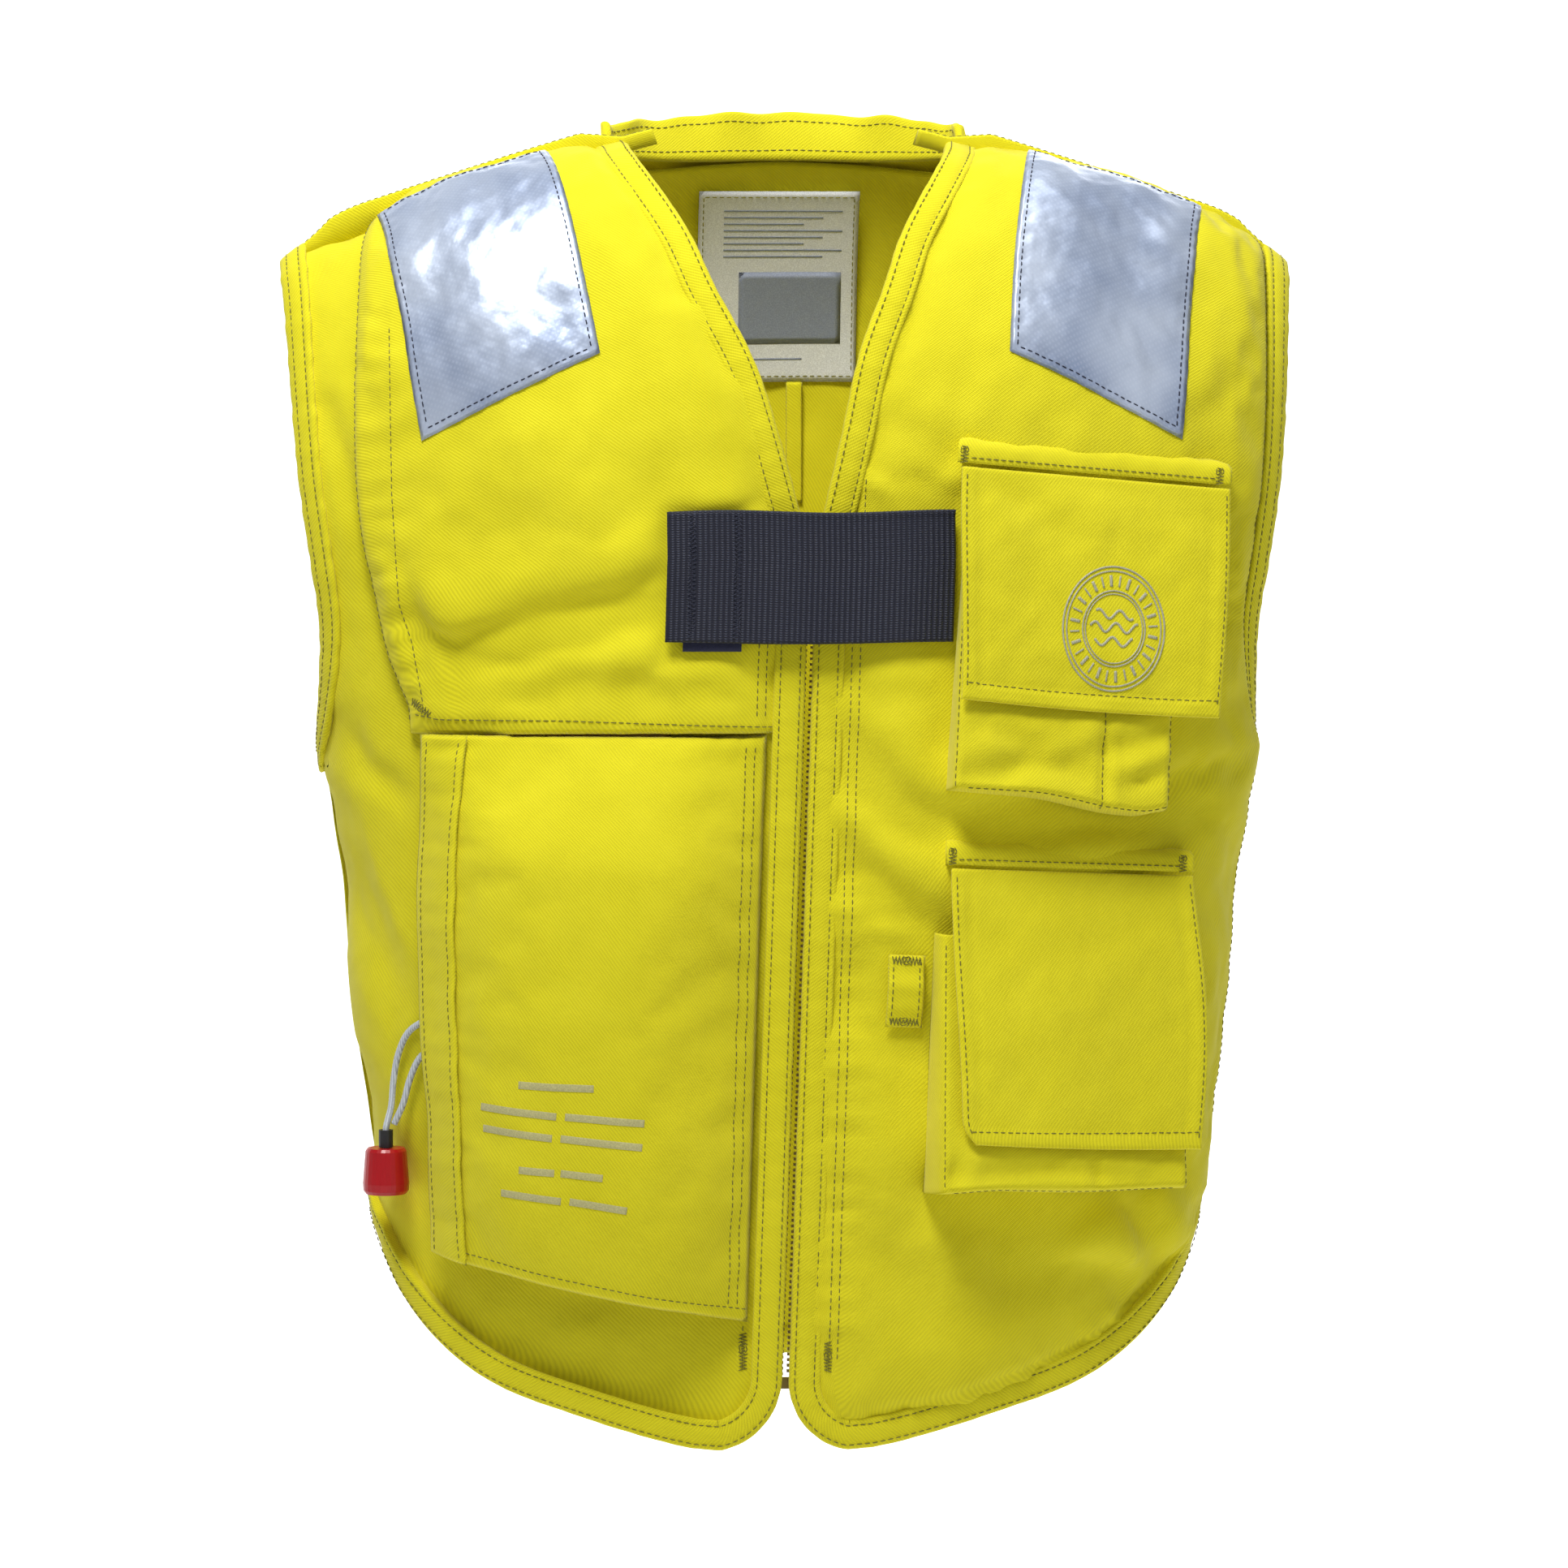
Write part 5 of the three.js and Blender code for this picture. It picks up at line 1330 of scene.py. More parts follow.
def patch(side, facing, name, node, x, down, host, facing_lift):
    """Tape sewn on a shoulder: puckered along its stitches and crowned between them."""
    width, height = 80, 130
    c, s = math.cos(math.radians(8)), math.sin(math.radians(8))
    u, v = np.linspace(-0.5, 0.5, 41), np.linspace(-0.5, 0.5, 65)
    a, b = np.meshgrid(u * width, v * height)
    at = down + b * c + a * s
    angle = angle_at(x + a * c - b * s, at)
    angle = side * (angle if facing == "front" else 180 - angle)
    rim = np.minimum(width / 2 - np.abs(a), height / 2 - np.abs(b))
    # the host's own folds carry through, softened
    flat = lay(angle, at, facing_lift(np.abs(angle), at))
    grid = host.p.reshape(-1, 3)[::2]
    up_normal = form_normal(angle, at)
    near = np.array([grid[np.argmin(np.sum((grid - q) ** 2, 1))] for q in flat.reshape(-1, 3)])
    near = near.reshape(flat.shape)
    rise = np.sum((near - flat) * up_normal, -1)
    for axis in (0, 1):
        rise = np.apply_along_axis(softened, axis, rise, 7)
    run = (a + b) * 0.9
    ripple = 0.32 * np.sin(run * 0.72) * np.exp(-(((rim - 2.5) / 3.2) ** 2))
    crown = 0.7 * np.sin(np.pi * (u[None, :] + 0.5)) * np.sin(np.pi * (v[:, None] + 0.5))
    stitched = -0.45 * np.exp(-(((rim - 3.4) / 0.9) ** 2))
    crease = rumple(np.stack([a, b, 0 * a], -1), 22, 1.1, 3.0 + side + (facing == "back"))
    lift = 1.15 + rise + ripple + crown + stitched + np.clip(crease, -0.8, 0.8) * smooth(rim / 12)
    made = Cloth(flat + up_normal * lift[..., None], up_normal)
    made.build(name, 0.7, "vest", "reflective", "reflective_tape", node)
    fu, fv = 3.2 / width, 3.2 / height
    for path in (
        made.row(fv, fu, 1 - fu, 70), made.column(1 - fu, fv, 1 - fv, 70),
        made.row(1 - fv, 1 - fu, fu, 70), made.column(fu, 1 - fv, fv, 70),
    ):
        stitch(path, "vest", "navy_thread", radius=0.34)


patch(-1, "front", "right_patch", "right_reflector", 140, 88, chest_right, right_swell)
patch(1, "front", "left_patch", "left_reflector", 140, 88, chest_left, left_swell)
patch(-1, "back", "right_back_patch", "right_back_reflector", 124, 99, yoke_cloth, back_swell)
patch(1, "back", "left_back_patch", "left_back_reflector", 124, 99, yoke_cloth, back_swell)

# ---------------------------------------------------------------- pockets


class Pocket:
    """A pocket's own frame: +X along its hinge, +Z up the flap and +Y towards the chest."""

    def __init__(self, corner, turn, roll, tilt):
        a, b, c = math.radians(-tilt), math.radians(roll), math.radians(turn)
        rx = np.array([[1, 0, 0], [0, math.cos(a), -math.sin(a)], [0, math.sin(a), math.cos(a)]])
        ry = np.array([[math.cos(b), 0, math.sin(b)], [0, 1, 0], [-math.sin(b), 0, math.cos(b)]])
        rz = np.array([[math.cos(c), -math.sin(c), 0], [math.sin(c), math.cos(c), 0], [0, 0, 1]])
        self.turning, self.corner = rz @ ry @ rx, np.array(corner, float)

    def at(self, x, y, z):
        return self.corner + np.stack(np.broadcast_arrays(x, y, z), -1) @ self.turning.T

    @property
    def outward(self):
        return self.turning @ np.array([0, -1.0, 0])


CHEST = 13.4  # lift of the chest's face behind the pockets


def behind_pocket(face, lift):
    """Points on the chest behind a pocket's face."""
    return on_front(face[..., 0] * (1 - lift / 200), face[..., 2], lift)


def edged(low, high, pitch):
    """Places from low to high, closer together near both ends."""
    ends = np.array([0, 0.4, 0.9, 1.6, 2.5, 3.7, 5.2, 7.0])
    middle = np.linspace(low + 9.2, high - 9.2, max(3, int((high - low - 18.4) / pitch)))
    return np.concatenate([low + ends, middle, high - ends[::-1]])


def pouch(name, node, pocket, left, right, mouth, bottom, droop, dents, seed, strip):
    """A pouch: walls that rise from the chest on three sides round a slack front, open at its mouth."""
    x, z = np.meshgrid(edged(left, right, 2.6), -edged(-mouth, -bottom, 2.6))
    z = z + droop(x) * smooth((mouth - z) / (mouth - bottom))
    face = pocket.at(x, 0 * x, z)
    chest = behind_pocket(face, CHEST - 0.6 + 0 * x)
    low = bottom + droop(x)
    sides = np.minimum(x - left, right - x)
    wall = 1 - (1 - np.clip(np.minimum(sides, z - low) / 5.5, 0, 1)) ** 2.4
    below = smooth((strip - z) / 24)
    slack = folds(x, z, dents) + rumple(np.stack([x, z, 0 * x], -1), 30, 1.5, seed)
    full = 2.6 * below * np.sin(np.pi * np.clip((x - left) / (right - left), 0, 1)) ** 0.6
    face = pocket.at(x, -full - np.clip(slack, -9, 3.5) * below * wall, z)
    points = chest + (face - chest) * wall[..., None]
    made = Cloth(points, np.broadcast_to(pocket.outward, points.shape))
    obj = made.build(name, 1.5, "vest", "twill", "yellow_twill", node)
    return made


def header(name, node, pocket, width, left_over=0.0, right_over=0.0):
    """The folded band that a flap hangs from."""
    x = np.linspace(-left_over, width + right_over, 90)
    face_rows = [(-4.5, 1.8), (-4.9, 3.2), (-5.1, 5.5), (-5.0, 7.6), (-4.6, 9.6)]
    rings = []
    for k, at in enumerate(x):
        wobble = 0.3 * math.sin(at * 0.41) + 0.25 * math.sin(at * 0.17 + 1)
        front = [pocket.at(at, y + 0.5 * wobble, z) for y, z in face_rows]
        top = pocket.at(at, -4.3, 11.6 + wobble)
        behind_top = behind_pocket(pocket.at(at, -5.2, 12.6 + wobble), np.array(CHEST - 0.8))
        behind_low = behind_pocket(pocket.at(at, -5.2, 1.6), np.array(CHEST - 0.8))
        rounding = [lerp(top, behind_top, f) for f in (0.25, 0.6, 1.0)]
        low = [lerp(behind_low, front[0], f) for f in (0.0, 0.5, 0.9)]
        rings.append(np.array(front + rounding + low))
    rings = np.array(rings)
    tube(name, rings, "vest", "twill_cross", "yellow_twill", node)
    middle = rings[:, 2]
    out = np.broadcast_to(pocket.outward, middle.shape)
    top = (rings[:, 3] + rings[:, 4]) / 2
    stitch((middle[4:-4] - pocket.turning[:, 2] * 1.2, out[4:-4]), lift=0.2)
    for k in (2, len(x) - 5):
        bartack((np.array([rings[k, 0], rings[k, 4]]) + pocket.outward * 0.4, out[:2]))
    return rings


def flap(name, node, body, pocket, left, right, bottom, crown, seed, dents=()):
    """A flap over a pocket: crowned, with turned edges, slightly curled at its free edge."""
    share = np.concatenate([[-0.002, 0.004, 0.011, 0.022, 0.039, 0.06], np.linspace(0.083, 0.926, 42)])
    share = np.concatenate([share, [0.94, 0.954, 0.968, 0.98, 0.989, 0.996, 1]])
    u = edged(0, 100, 2.1) / 100
    share, u = np.meshgrid(share, u, indexing="ij")
    z = np.where(share > 0, -share * -bottom(u), 0.2)
    x = lerp(left(-z), right(-z), u)
    wide = right(-z) - left(-z)
    to_side = np.minimum(u, 1 - u) * wide
    to_edge = z - bottom(u)
    rim = np.minimum(to_side, to_edge)
    swelling = crown * np.sin(np.pi * u) ** 0.7 * smooth(-z / 26) * smooth(to_edge / 30)
    groove = -0.5 * np.exp(-(((rim - 8.2) / 1.3) ** 2)) * smooth(-z / 10)
    turned = 0.5 * smooth(rim / 1.6) * (1 - smooth((rim - 6.5) / 2))
    slack = np.clip(folds(x, z, dents) + rumple(np.stack([x, z, 0 * x], -1), 34, 1.1, seed), -1.6, 2.4)
    ripple = 0.22 * np.sin((x + z) * 0.62) * np.exp(-(((rim - 7.5) / 4) ** 2)) * smooth(-z / 12)
    y = -5.3 - swelling - turned - groove - ripple - slack * smooth(-z / 16) * smooth(rim / 7)
    points = pocket.at(x, y, z)
    made = Cloth(points, np.broadcast_to(pocket.outward, points.shape))
    obj = made.build(name, 2.0, body, "twill", "yellow_twill", node)
    v_in = 8.2 / np.abs(bottom(np.array([0.1]))[0])
    u_in = 8.2 / wide.mean()
    down = 0.99 * lerp(6.5 / 108, 1 - v_in * 0.93, np.linspace(0, 1, 90))
    for f in (u_in, 1 - u_in):
        stitch(made.at(np.full(90, f), down), body)
    return made


def edge_row(made, inset_mm, body):
    """Stitches along a flap's free edge at a distance inside it."""
    _, down = cloth_lengths(made.p)
    across = np.linspace(0.062, 0.938, 90)
    rows = []
    for f in across:
        j = int(round(f * (made.p.shape[1] - 1)))
        target = down[-1, j] - inset_mm
        rows.append(np.interp(target, down[:, j], np.linspace(0, 1, made.p.shape[0])))
    stitch(made.at(across, np.array(rows)), body)


UPPER = Pocket((73, -107.5, -145), 12.5, 5, 8)
LOWER = Pocket((68, -107, -329), 13, 3, 9)

upper_pouch = pouch(
    "upper_pouch_cloth", "upper_pouch", UPPER, 2, 112, -30, -150,
    lambda x: -5 * smooth((x - 40) / 50) + 3 * smooth((x - 96) / 16), [
        ([(12, -141), (45, -132), (74, -138)], 6, 3.6), ([(60, -128), (90, -121), (108, -112)], 6, 3.2),
        ([(20, -118), (38, -124), (58, -120)], 5, 2.2), ([(76, -108), (77, -130), (76, -150)], 2.2, 2.6),
        ([(84, -140), (98, -136), (110, -130)], 4, 2.2),
    ], 1.0, -98,
)
lower_pouch = pouch(
    "lower_pouch_cloth", "lower_pouch", LOWER, -4, 121, -30, -150,
    lambda x: 2.5 * smooth((x - 60) / 60) - 2 * smooth((30 - x) / 30), [
        ([(6, -140), (50, -137), (110, -141)], 5, 3.0), ([(2, -118), (8, -132), (4, -146)], 4, 2.6),
        ([(30, -146), (70, -148), (110, -146)], 3.4, 2.0), ([(70, -128), (74, -140), (72, -149)], 3, 1.8),
    ], 7.0, -118,
)
header("upper_header_cloth", "upper_flap_header", UPPER, 131, 1.5)
header("lower_header_cloth", "lower_flap_header", LOWER, 119, 1.0)

upper_flap = flap(
    "upper_flap_cloth", "upper_flap", "upper_flap", UPPER,
    lambda d: 0.5 + 4.5 * smooth(d / 108),
    lambda d: 131 - 1.0 * smooth(d / 108) + 1.6 * np.sin(np.pi * d / 108),
    lambda u: -106.5 - 1.3 * np.sin(np.pi * np.clip(u, 0, 1)), 1.7, 2.0,
    [([(22, -6), (44, -22), (70, -34)], 9, 1.5), ([(16, -70), (40, -88), (70, -98)], 14, 0.7)],
)
edge_row(upper_flap, 8.2, "upper_flap")
lower_flap = flap(
    "lower_flap_cloth", "lower_flap", "lower_flap", LOWER,
    lambda d: 1 + 6 * smooth(d / 128) + 10 * smooth((d - 112) / 20) * smooth((d - 112) / 20),
    lambda d: 119 + 5.0 * np.sin(np.pi * np.clip(d / 128, 0, 1)) ** 1.2 + 4.0 * smooth(d / 128),
    lambda u: -126.5 - 1.0 * np.sin(np.pi * np.clip(u, 0, 1)), 2.0, 4.0,
    [([(20, -20), (50, -34), (90, -30)], 16, 0.8), ([(20, -96), (60, -104), (100, -100)], 18, 0.8)],
)
edge_row(lower_flap, 8.2, "lower_flap")

# seams of the pouches, and the divider sewn down the upper one
stitch(upper_pouch.row(0.905, 0.16, 0.9, 60))
stitch(lower_pouch.row(0.915, 0.14, 0.88, 60))
columns = upper_pouch.p.shape[1]
divide = np.argmin(np.abs(edged(2, 112, 2.6) - 76)) / (columns - 1)
stitch(upper_pouch.column(divide, 0.55, 0.93, 40), lift=0.3)
for made in (upper_pouch, lower_pouch):
    for f in (0.1, 0.9):
        stitch(made.column(f, 0.1, 0.9, 50))

# the loop beside the lower pocket
u, v = np.meshgrid(np.linspace(-0.5, 0.5, 15), np.linspace(0.5, -0.5, 27))
face = LOWER.at(-20 + u * 17, 0 * u, -58 + v * 34)
rise = 14.6 + 2.4 * np.cos(np.pi * v) ** 2 + 0.3 * np.sin(v * 19)
points = on_front(face[..., 0], face[..., 2], rise)
loop = Cloth(points, form_normal(0 * u + 15, 0 * u + 400))
loop.build("tool_loop_cloth", 1.5, "vest", "twill_cross", "yellow_twill", "tool_loop")
for f in (0.08, 0.92):
    bartack(loop.row(f, 0.1, 0.9, 12))
for f in (0.14, 0.86):
    stitch(loop.column(f, 0.05, 0.95, 20))

# ---------------------------------------------------------------- the badge: rings and waves in satin stitch


def on_flap(made, pocket, x, z, lift):
    """Points over the upper flap at places in the pocket's frame."""
    local = (made.p - pocket.corner) @ pocket.turning
    flat = local[..., [0, 2]].reshape(-1, 2)
    nearest = [np.argmin((flat[:, 0] - a) ** 2 + (flat[:, 1] - b) ** 2) for a, b in zip(x, z)]
    y = local[..., 1].ravel()[nearest]
    y = softened(y, 5, "wrap" if len(y) > 60 else "edge")
    return pocket.at(x, y - lift, z)


BADGE, BADGE_HALF = (76, -69), (25, 29)  # middle and half sizes in the pocket's frame


def satin(name, x, z, width, closed, replaced=()):
    """Raised embroidery along a line: a low rounded bar."""
    points = on_flap(upper_flap, UPPER, x, z, 0.15)
    along = np.gradient(points, axis=0) if not closed else np.roll(points, -1, 0) - np.roll(points, 1, 0)
    out = np.broadcast_to(UPPER.outward, points.shape)
    side = unit(np.cross(unit(along), out))
    turns = np.linspace(0, 2 * np.pi, 9)[:-1]
    ridges = 1 + 0.12 * np.sin(np.arange(len(points)) * 2.2)
    verts = points[:, None] + side[:, None] * (np.cos(turns) * width / 2)[None, :, None] + out[:, None] * (
        np.sin(turns)[None, :, None] * 0.42 * ridges[:, None, None]
    )
    return tube(name, verts, "upper_flap", "badge", "badge_thread", *replaced, closed=closed)


turn = np.linspace(0, 2 * np.pi, 181)[:-1]
for k, (scale, width) in enumerate(((0.985, 0.9), (0.915, 0.8), (0.6, 0.8), (0.55, 0.6))):
    x, z = BADGE[0] + BADGE_HALF[0] * scale * np.cos(turn), BADGE[1] + BADGE_HALF[1] * scale * np.sin(turn)
    satin(f"badge_ring_{k + 1}", x, z, width, True, ("upper_flap_badge",) if k == 0 else ())
wave_places = np.linspace(-1, 1, 40)
for k, (height, half, amplitude) in enumerate(((6.5, 9.0, 2.0), (0.5, 11.5, 2.2), (-6, 9.0, 2.0))):
    satin(
        f"badge_wave_{k + 1}", BADGE[0] + half * wave_places,
        BADGE[1] + height + amplitude * np.sin(wave_places * half * 0.62 + k), 1.2, False,
    )
for k in range(28):
    mid = 2 * np.pi * (k + 0.5) / 28
    reach = np.linspace(0.67, 0.85, 6)
    satin(
        f"badge_ray_{k + 1:02d}", BADGE[0] + BADGE_HALF[0] * reach * np.cos(mid),
        BADGE[1] + BADGE_HALF[1] * reach * np.sin(mid),
        1.5 if k % 2 else 0.9, False,
    )

# ---------------------------------------------------------------- the chest tab

TAB_HALF, TAB_TOP, TAB_BOTTOM, TAB_LIFT = 64.5, -165, -225, 17.1
u, v = full_grid(131, 61)
x, z = lerp(-TAB_HALF, TAB_HALF, u), lerp(TAB_TOP, TAB_BOTTOM, v)
form = on_front(x, z, 0 * x)
down = down_at(x, z)
out = form_normal(angle_at(x, down), down)
wave = 0.5 * np.sin(u * 7 + v * 2) + 0.35 * np.sin(v * np.pi * 1.0) * np.cos(u * 13)
curl = 1.1 * smooth((0.06 - v) / 0.06) * u + 0.9 * smooth((0.1 - u) / 0.1) * (0.5 + 0.5 * np.sin(v * 5))
ribs = 0.2 * np.sin(2 * np.pi * x / 2.6)
selvedge = 0.25 * (np.exp(-((v / 0.022) ** 2)) + np.exp(-(((1 - v) / 0.022) ** 2)))
points = form + out * (TAB_LIFT + wave * 0.7 + curl + ribs + selvedge)[..., None]
points[..., 2] += 0.7 * np.sin(u * 8) * (1 - v) + 0.5 * np.sin(u * 6 + 2) * v
tab = Cloth(points, out)
tab.build("chest_tab_webbing", 1.9, "chest_tab", "webbing", "navy_webbing", "chest_tab")
for f in (0.085, 0.24):
    run, normal = tab.column(f, 0.03, 0.97, 60)
    zig = run + np.stack([np.where(np.arange(60) % 2, 1.6, -1.6), np.zeros(60), np.zeros(60)], -1)
    stitch((zig, normal), "chest_tab", "navy_thread", pitch=2.2, length=2.0, radius=0.28)

# ---------------------------------------------------------------- the inflator cover

COVER_SWELL = 36
cover_across = through_rows([
    (0, 0.02), (0.12, 0.52), (0.25, 0.85), (0.4, 0.99), (0.72, 1), (0.88, 0.68), (1, 0.26),
])
cover_along = through_rows([(0, 0.16), (0.12, 0.62), (0.25, 0.96), (0.85, 1), (0.93, 0.9), (1, 0.66)])
cover_edge_x = through_rows([(-540, 158), (-510, 159), (-450, 161), (-419, 164), (-363, 167), (-267, 168)])


def cover_lift(u, v):
    """How far the inflator cover stands off, highest over the inflator."""
    fastened = np.clip(4 * u - 3, 0, 1)
    rise = lerp(cover_along(v), np.maximum(cover_along(v), 0.9), fastened)
    return lerp(EDGE_LIFT, COVER_SWELL, cover_across(u) * rise)


def cover_place(u, v, lift):
    """Points of the inflator cover at fractions across and down it."""
    z = lerp(WAIST_SEAM - 1.4, lerp(-539, -508, u), v)
    return on_front(-lerp(FRONT_GAP + 16.5, cover_edge_x(z), u), z, lift)


u, v = full_grid(61, 109)
p = cover_place(u, v, cover_lift(u, v) + CLOTH)
ahead = cover_place(u, v, cover_lift(u, v) + CLOTH + 1)
out = unit(ahead - p)
x, z = p[..., 0], p[..., 2]
height = folds(x, z, [
    ([(-174, -271), (-164, -274), (-146, -271)], 4.5, 1.8),
    ([(-157, -276), (-127, -288), (-83, -284)], 16, 1.3),
    ([(-157, -488), (-105, -500), (-45, -511)], 18, 1.2),
    ([(-38, -288), (-30, -362), (-34, -436)], 20, 1.1),
    ([(-157, -302), (-153, -377), (-146, -451)], 18, 1.0),
]) + rumple(p, 60, 1.3, 9.0)
height += puckers(x, z, [(-164, -264), (-105, -265), (-19, -267)], 10, 0.45, 11)
height += puckers(x, z, [(-166, -265), (-172, -358), (-163, -500)], 11, 0.4, 10)
fade = np.minimum.reduce([u * 150, (1 - u) * 150, v * 260 + 3, (1 - v) * 260 + 4]) / 10
p = p + out * (np.clip(height, -1.4, 2.2) * smooth(fade))[..., None]
flat_rim = np.minimum.reduce([u * 150, (1 - u) * 150 - 12, v * 260])
p = settle(p, out, (flat_rim < 3).astype(float), 0.8, 0.008, 2.2)
cover = Cloth(p, out)
obj = cover.build("inflator_cover_cloth", 1.8, "inflator_cover", "twill", "yellow_twill", "inflator_cover")
stitch(cover.column(0.965, 0.005, 0.995, 160), "inflator_cover")
stitch(cover.row(0.978, 0.005, 0.995, 160), "inflator_cover")
for f in (0.035, 0.062):
    stitch(cover.column(f, 0.02, 0.98, 150), "inflator_cover")

# the strip sewn down its outer edge
s, v = full_grid(15, 121)
base, normal = cover.at(0.868 + 0.132 * s, v)
lift = 1.9 + 0.35 * np.sin(v * 41) * (1 - s) + 0.3 * np.sin(v * 23 + 1) * s + 0.25 * np.cos(2 * np.pi * s)
strip = Cloth(base + normal * lift[..., None], normal)
strip.build("cover_strip_cloth", 1.3, "inflator_cover", "twill_cross", "yellow_twill", "cover_edge_strip")
for f in (0.16, 0.84):
    stitch(strip.column(f, 0.01, 0.99, 150), "inflator_cover")

# plain printed bars where the notice is
BARS = [
    [(-128, -426), (-94, -427)],
    [(-145, -437), (-111, -440)], [(-107, -440), (-71, -443)],
    [(-144, -447), (-113, -450)], [(-109, -450), (-72, -454)],
    [(-128, -465), (-112, -466)], [(-109, -466), (-90, -468)],
    [(-136, -476), (-109, -479)], [(-105, -479), (-79, -483)],
]


def printed(name, path, section, body, material, slot):
    """A thin bar of print along (points, normals)."""
    points, normals = path
    side = unit(np.cross(unit(np.gradient(points, axis=0)), normals))
    tube(name, carried(points, side, normals, np.array(section)), body, material, slot)


for k, bar in enumerate(BARS):
    section = rounded(1.7, -0.1, 0.28, 0.18, 2)
    printed(f"notice_bar_{k + 1}", cover.under(bar, 1.0), section, "inflator_cover", "print", None)

# ---------------------------------------------------------------- labels, strips, bladder and zip

LABEL_HALF, LABEL_TOP, LABEL_BOTTOM = 39, -14, -107
u, v = full_grid(31, 36)
x, z = lerp(-LABEL_HALF, LABEL_HALF, u), lerp(LABEL_TOP, LABEL_BOTTOM, v)
points = on_back(x, z, -3.0 - 1.2 * np.sin(u * 5 + 1) * v - 1.0 * np.sin(v * 6) * u)
down = down_at(x, z)
inward = -form_normal(180 - angle_at(x, down), down)
label = Cloth(points, inward)
label.build("care_label_cloth", 0.5, "vest", "label", "label_cloth", "care_label")
for f in (0.03, 0.97):
    stitch(label.column(f, 0.03, 0.97, 50), radius=0.25)
    stitch(label.row(f, 0.03, 0.97, 50), radius=0.25)
s, t = np.meshgrid(np.linspace(0.26, 0.9, 18), np.linspace(0.42, 0.80, 12))
block, normal = label.at(s, t)
Cloth(block + normal * 0.3, normal).build("label_block", 0.25, "vest", "label_grey", "label_cloth")
for k in range(9):
    run = lerp(0.16, 0.9 - 0.12 * (k % 3), np.linspace(0, 1, 24))
    height = 0.1 + 0.034 * k if k < 8 else 0.88
    path, section = label.at(run, np.full(24, height)), rounded(0.45, 0.0, 0.2, 0.09, 1)
    printed(f"label_rule_{k + 1}", path, section, "vest", "label_grey", "label_cloth")

# the hanger strip below the label
u, v = full_grid(9, 40)
x, z = lerp(5, 13, u), lerp(LABEL_BOTTOM, -166, v)
points = on_back(x, z, -2.6 - 0.8 * np.sin(v * 4))
down = down_at(x, z)
hanger = Cloth(points, -form_normal(180 - angle_at(x, down), down))
hanger.build("hanger_strip", 1.0, "vest", "twill_cross", "yellow_lining")

u, v = full_grid(25, 17)
down = lerp(9, 34, v)
angle = 180 - angle_at(lerp(136, 174, u), down)
points = lay(angle, down, back_swell(angle, down) + 3.4 + 0.3 * np.sin(u * 14))
strip = Cloth(points, form_normal(angle, down))
strip.build("shoulder_strip_cloth", 1.1, "vest", "navy", "navy_cloth", "shoulder_strip")

# the folded bladder: two film plies with soft creases, welded round the rim
right_half = [
    (-92, 455), (-98, 360), (-108, 250), (-124, 130), (-139, 40), (-128, -40), (-84, -108),
]
left_half = [(-x, down) for x, down in right_half[:0:-1]]
route = eased(right_half + [(0, -126)] + left_half + [(92, 430)], 240)
t = np.linspace(0, 1, len(route))
tangent = unit(np.gradient(route, axis=0))
lobe = np.minimum.reduce([np.ones_like(t), 8 * t + 0.35, 8 * (1 - t) + 0.35])
wide = lerp(26, 40, np.clip((np.abs(route[:, 1]) - 60) / 60, 0, 1)) * lobe
s = np.linspace(-1, 1, 25)
x = route[:, :1] - tangent[:, 1:] * s * wide[:, None] * 0.99
signed = route[:, 1:] + tangent[:, :1] * s * wide[:, None] * 0.99
angle = angle_at(x, np.abs(signed))
angle = np.where(signed >= 0, angle, np.where(x >= 0, 180, -180) - angle)
rumpled = 0.35 * np.sin(t[:, None] * 120 + s * 3) * (1 - s**2)
points = lay(angle, np.abs(signed), CLOTH + 4.0 + rumpled)
bladder = Cloth(points, form_normal(angle, np.abs(signed)))
obj = bladder.build("bladder_film", 2.6, "vest", "bladder", "bladder_film", "bladder")

# the zip's teeth, where each side's stand half a step from the other's
TEETH_Y, TOOTH_STEP, TOOTH_HALF = -87.9, 2.6, 0.55
block = np.array([(0.8, -1.3), (0.8, 1.3), (2.3, 1.5), (3.4, 1.0), (3.4, -1.0), (2.3, -1.5)])
for side, word in SIDES:
    verts, faces = [], []
    for count, z in enumerate(np.arange(ZIP_BOTTOM + 2, ZIP_TOP - 1, TOOTH_STEP)):
        z = z + side * TOOTH_STEP / 4
        shift = float(lean(np.array(z)))
        for top in (-TOOTH_HALF, TOOTH_HALF):
            verts += [(side * a + shift, TEETH_Y + b, z + top) for a, b in block]
        base = 12 * count
        ring = [(base + k, base + (k + 1) % 6, base + 6 + (k + 1) % 6, base + 6 + k) for k in range(6)]
        tooth_ends = [tuple(base + k for k in range(5, -1, -1)), tuple(base + 6 + k for k in range(6))]
        faces += [f[::-1] for f in ring + tooth_ends] if side > 0 else ring + tooth_ends
    obj = mesh_object(f"{word}_zip_teeth", verts, faces, "vest", "brass")
    obj.data.polygons.foreach_set("use_smooth", [False] * len(obj.data.polygons))
    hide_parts(f"{word}_zip_chain")

sew()

# ---------------------------------------------------------------- CAD pieces that show as they are

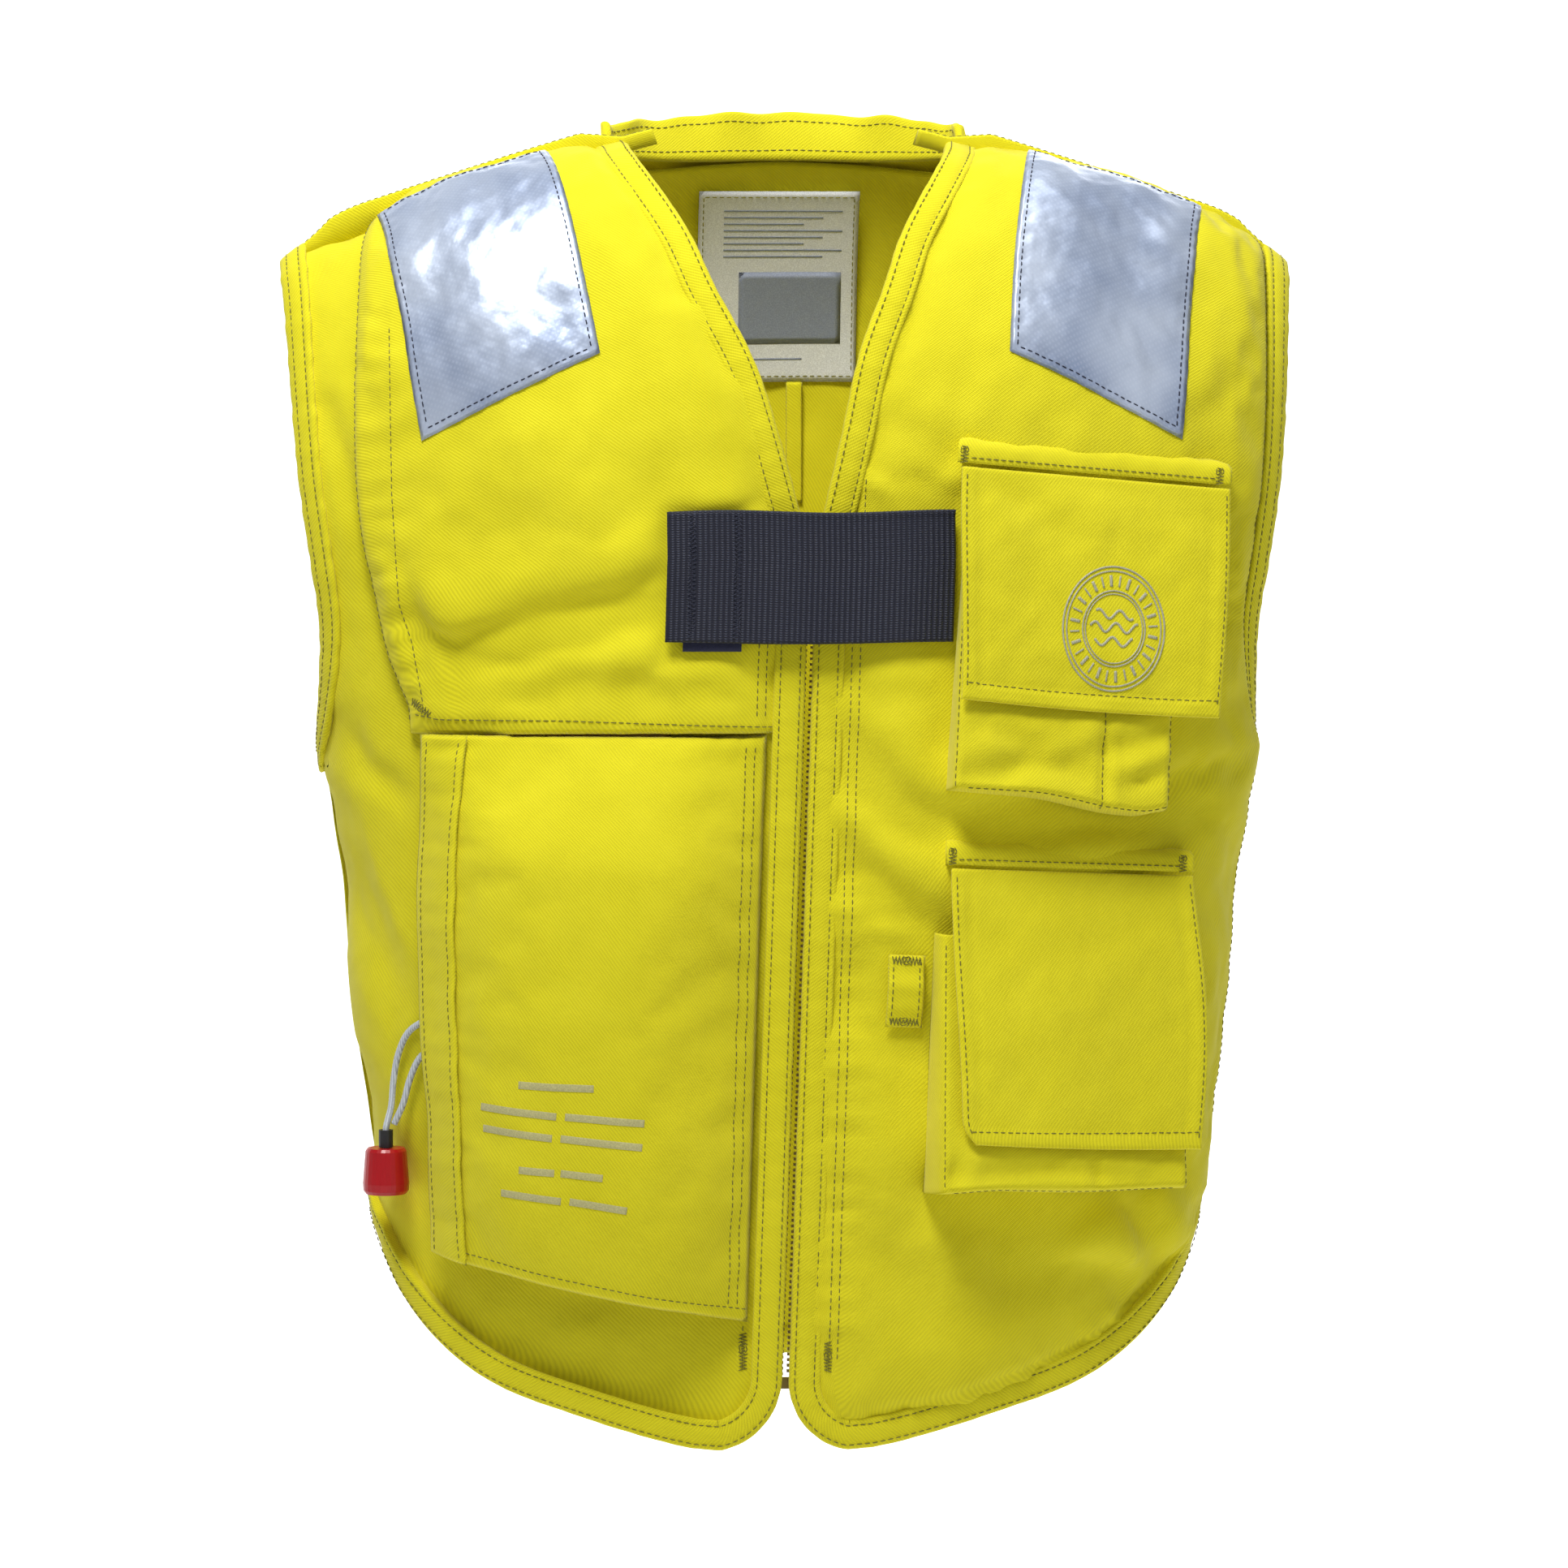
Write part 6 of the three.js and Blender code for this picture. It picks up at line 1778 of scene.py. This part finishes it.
FINISH = {
    "black": ["inflator_flange", "inflator_body", "oral_valve_body", "lanyard_sleeve"],
    "red": ["inflator_lever", "pull_toggle", "oral_valve_poppet", "oral_valve_cap"],
    "yellow_plastic": ["cartridge_cap"],
    "white_plastic": ["water_cartridge"],
    "steel": ["co2_cylinder"],
    "brass": ["zip_bottom_stop", "zip_slider", "zip_pull"],
    "hooks": [
        "cover_hook_strip", "cover_loop_strip", "upper_flap_hook_strip", "upper_pouch_loop_strip",
        "lower_flap_hook_strip", "lower_pouch_loop_strip",
    ],
    "navy": ["tab_hook_patch", "tab_loop_patch"],
    "rubber": ["oral_tube"],
    "lining": ["right_zip_tape", "left_zip_tape"],
}
ROUNDING = {
    "black": 0.5, "red": 0.6, "yellow_plastic": 0.5, "white_plastic": 0.5, "steel": 0.4, "brass": 0.18,
    "rubber": 0.3,
}
for finish, names in FINISH.items():
    for name in names:
        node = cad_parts[name]
        node.data.materials.clear()
        node.data.materials.append(MAT[finish])
        if finish in ROUNDING:
            bevel = node.modifiers.new("rounding", "BEVEL")
            bevel.width = ROUNDING[finish] * MM
            bevel.segments = 2
            bevel.limit_method = "ANGLE"
            bevel.angle_limit = math.radians(38)
            bevel.harden_normals = False

# ---------------------------------------------------------------- floor and backdrop

FLOOR = cad_box[0][2] - 0.32
BEND_START, BEND_RADIUS = 5.5, 2.5


def stage_strip(name, rows, brightness):
    """A wide strip through (y, z) rows, pale and glowing by that much."""
    verts = [(x, y, z) for y, z in rows for x in (-12.0, 12.0)]
    faces = [(2 * k, 2 * k + 1, 2 * k + 3, 2 * k + 2) for k in range(len(rows) - 1)]
    mesh = bpy.data.meshes.new(name)
    mesh.from_pydata(verts, [], faces)
    mesh.polygons.foreach_set("use_smooth", [True] * len(mesh.polygons))
    obj = bpy.data.objects.new(name, mesh)
    scene.collection.objects.link(obj)
    pale = Nodes(name)
    pale.finish((0.9, 0.9, 0.9), 0.9)
    pale.shader.inputs["Emission Color"].default_value = (1, 1, 1, 1)
    pale.shader.inputs["Emission Strength"].default_value = brightness
    mesh.materials.append(pale.material)


turns = [math.pi / 2 * k / 24 for k in range(25)]
bend = [(BEND_START + BEND_RADIUS * math.sin(t), FLOOR + BEND_RADIUS * (1 - math.cos(t))) for t in turns]
stage_strip("floor", [(-30.0, FLOOR), (1.1, FLOOR)], 0.15)
stage_strip("backdrop", [(1.1, FLOOR)] + bend + [(BEND_START + BEND_RADIUS, FLOOR + 8)], 0.95)
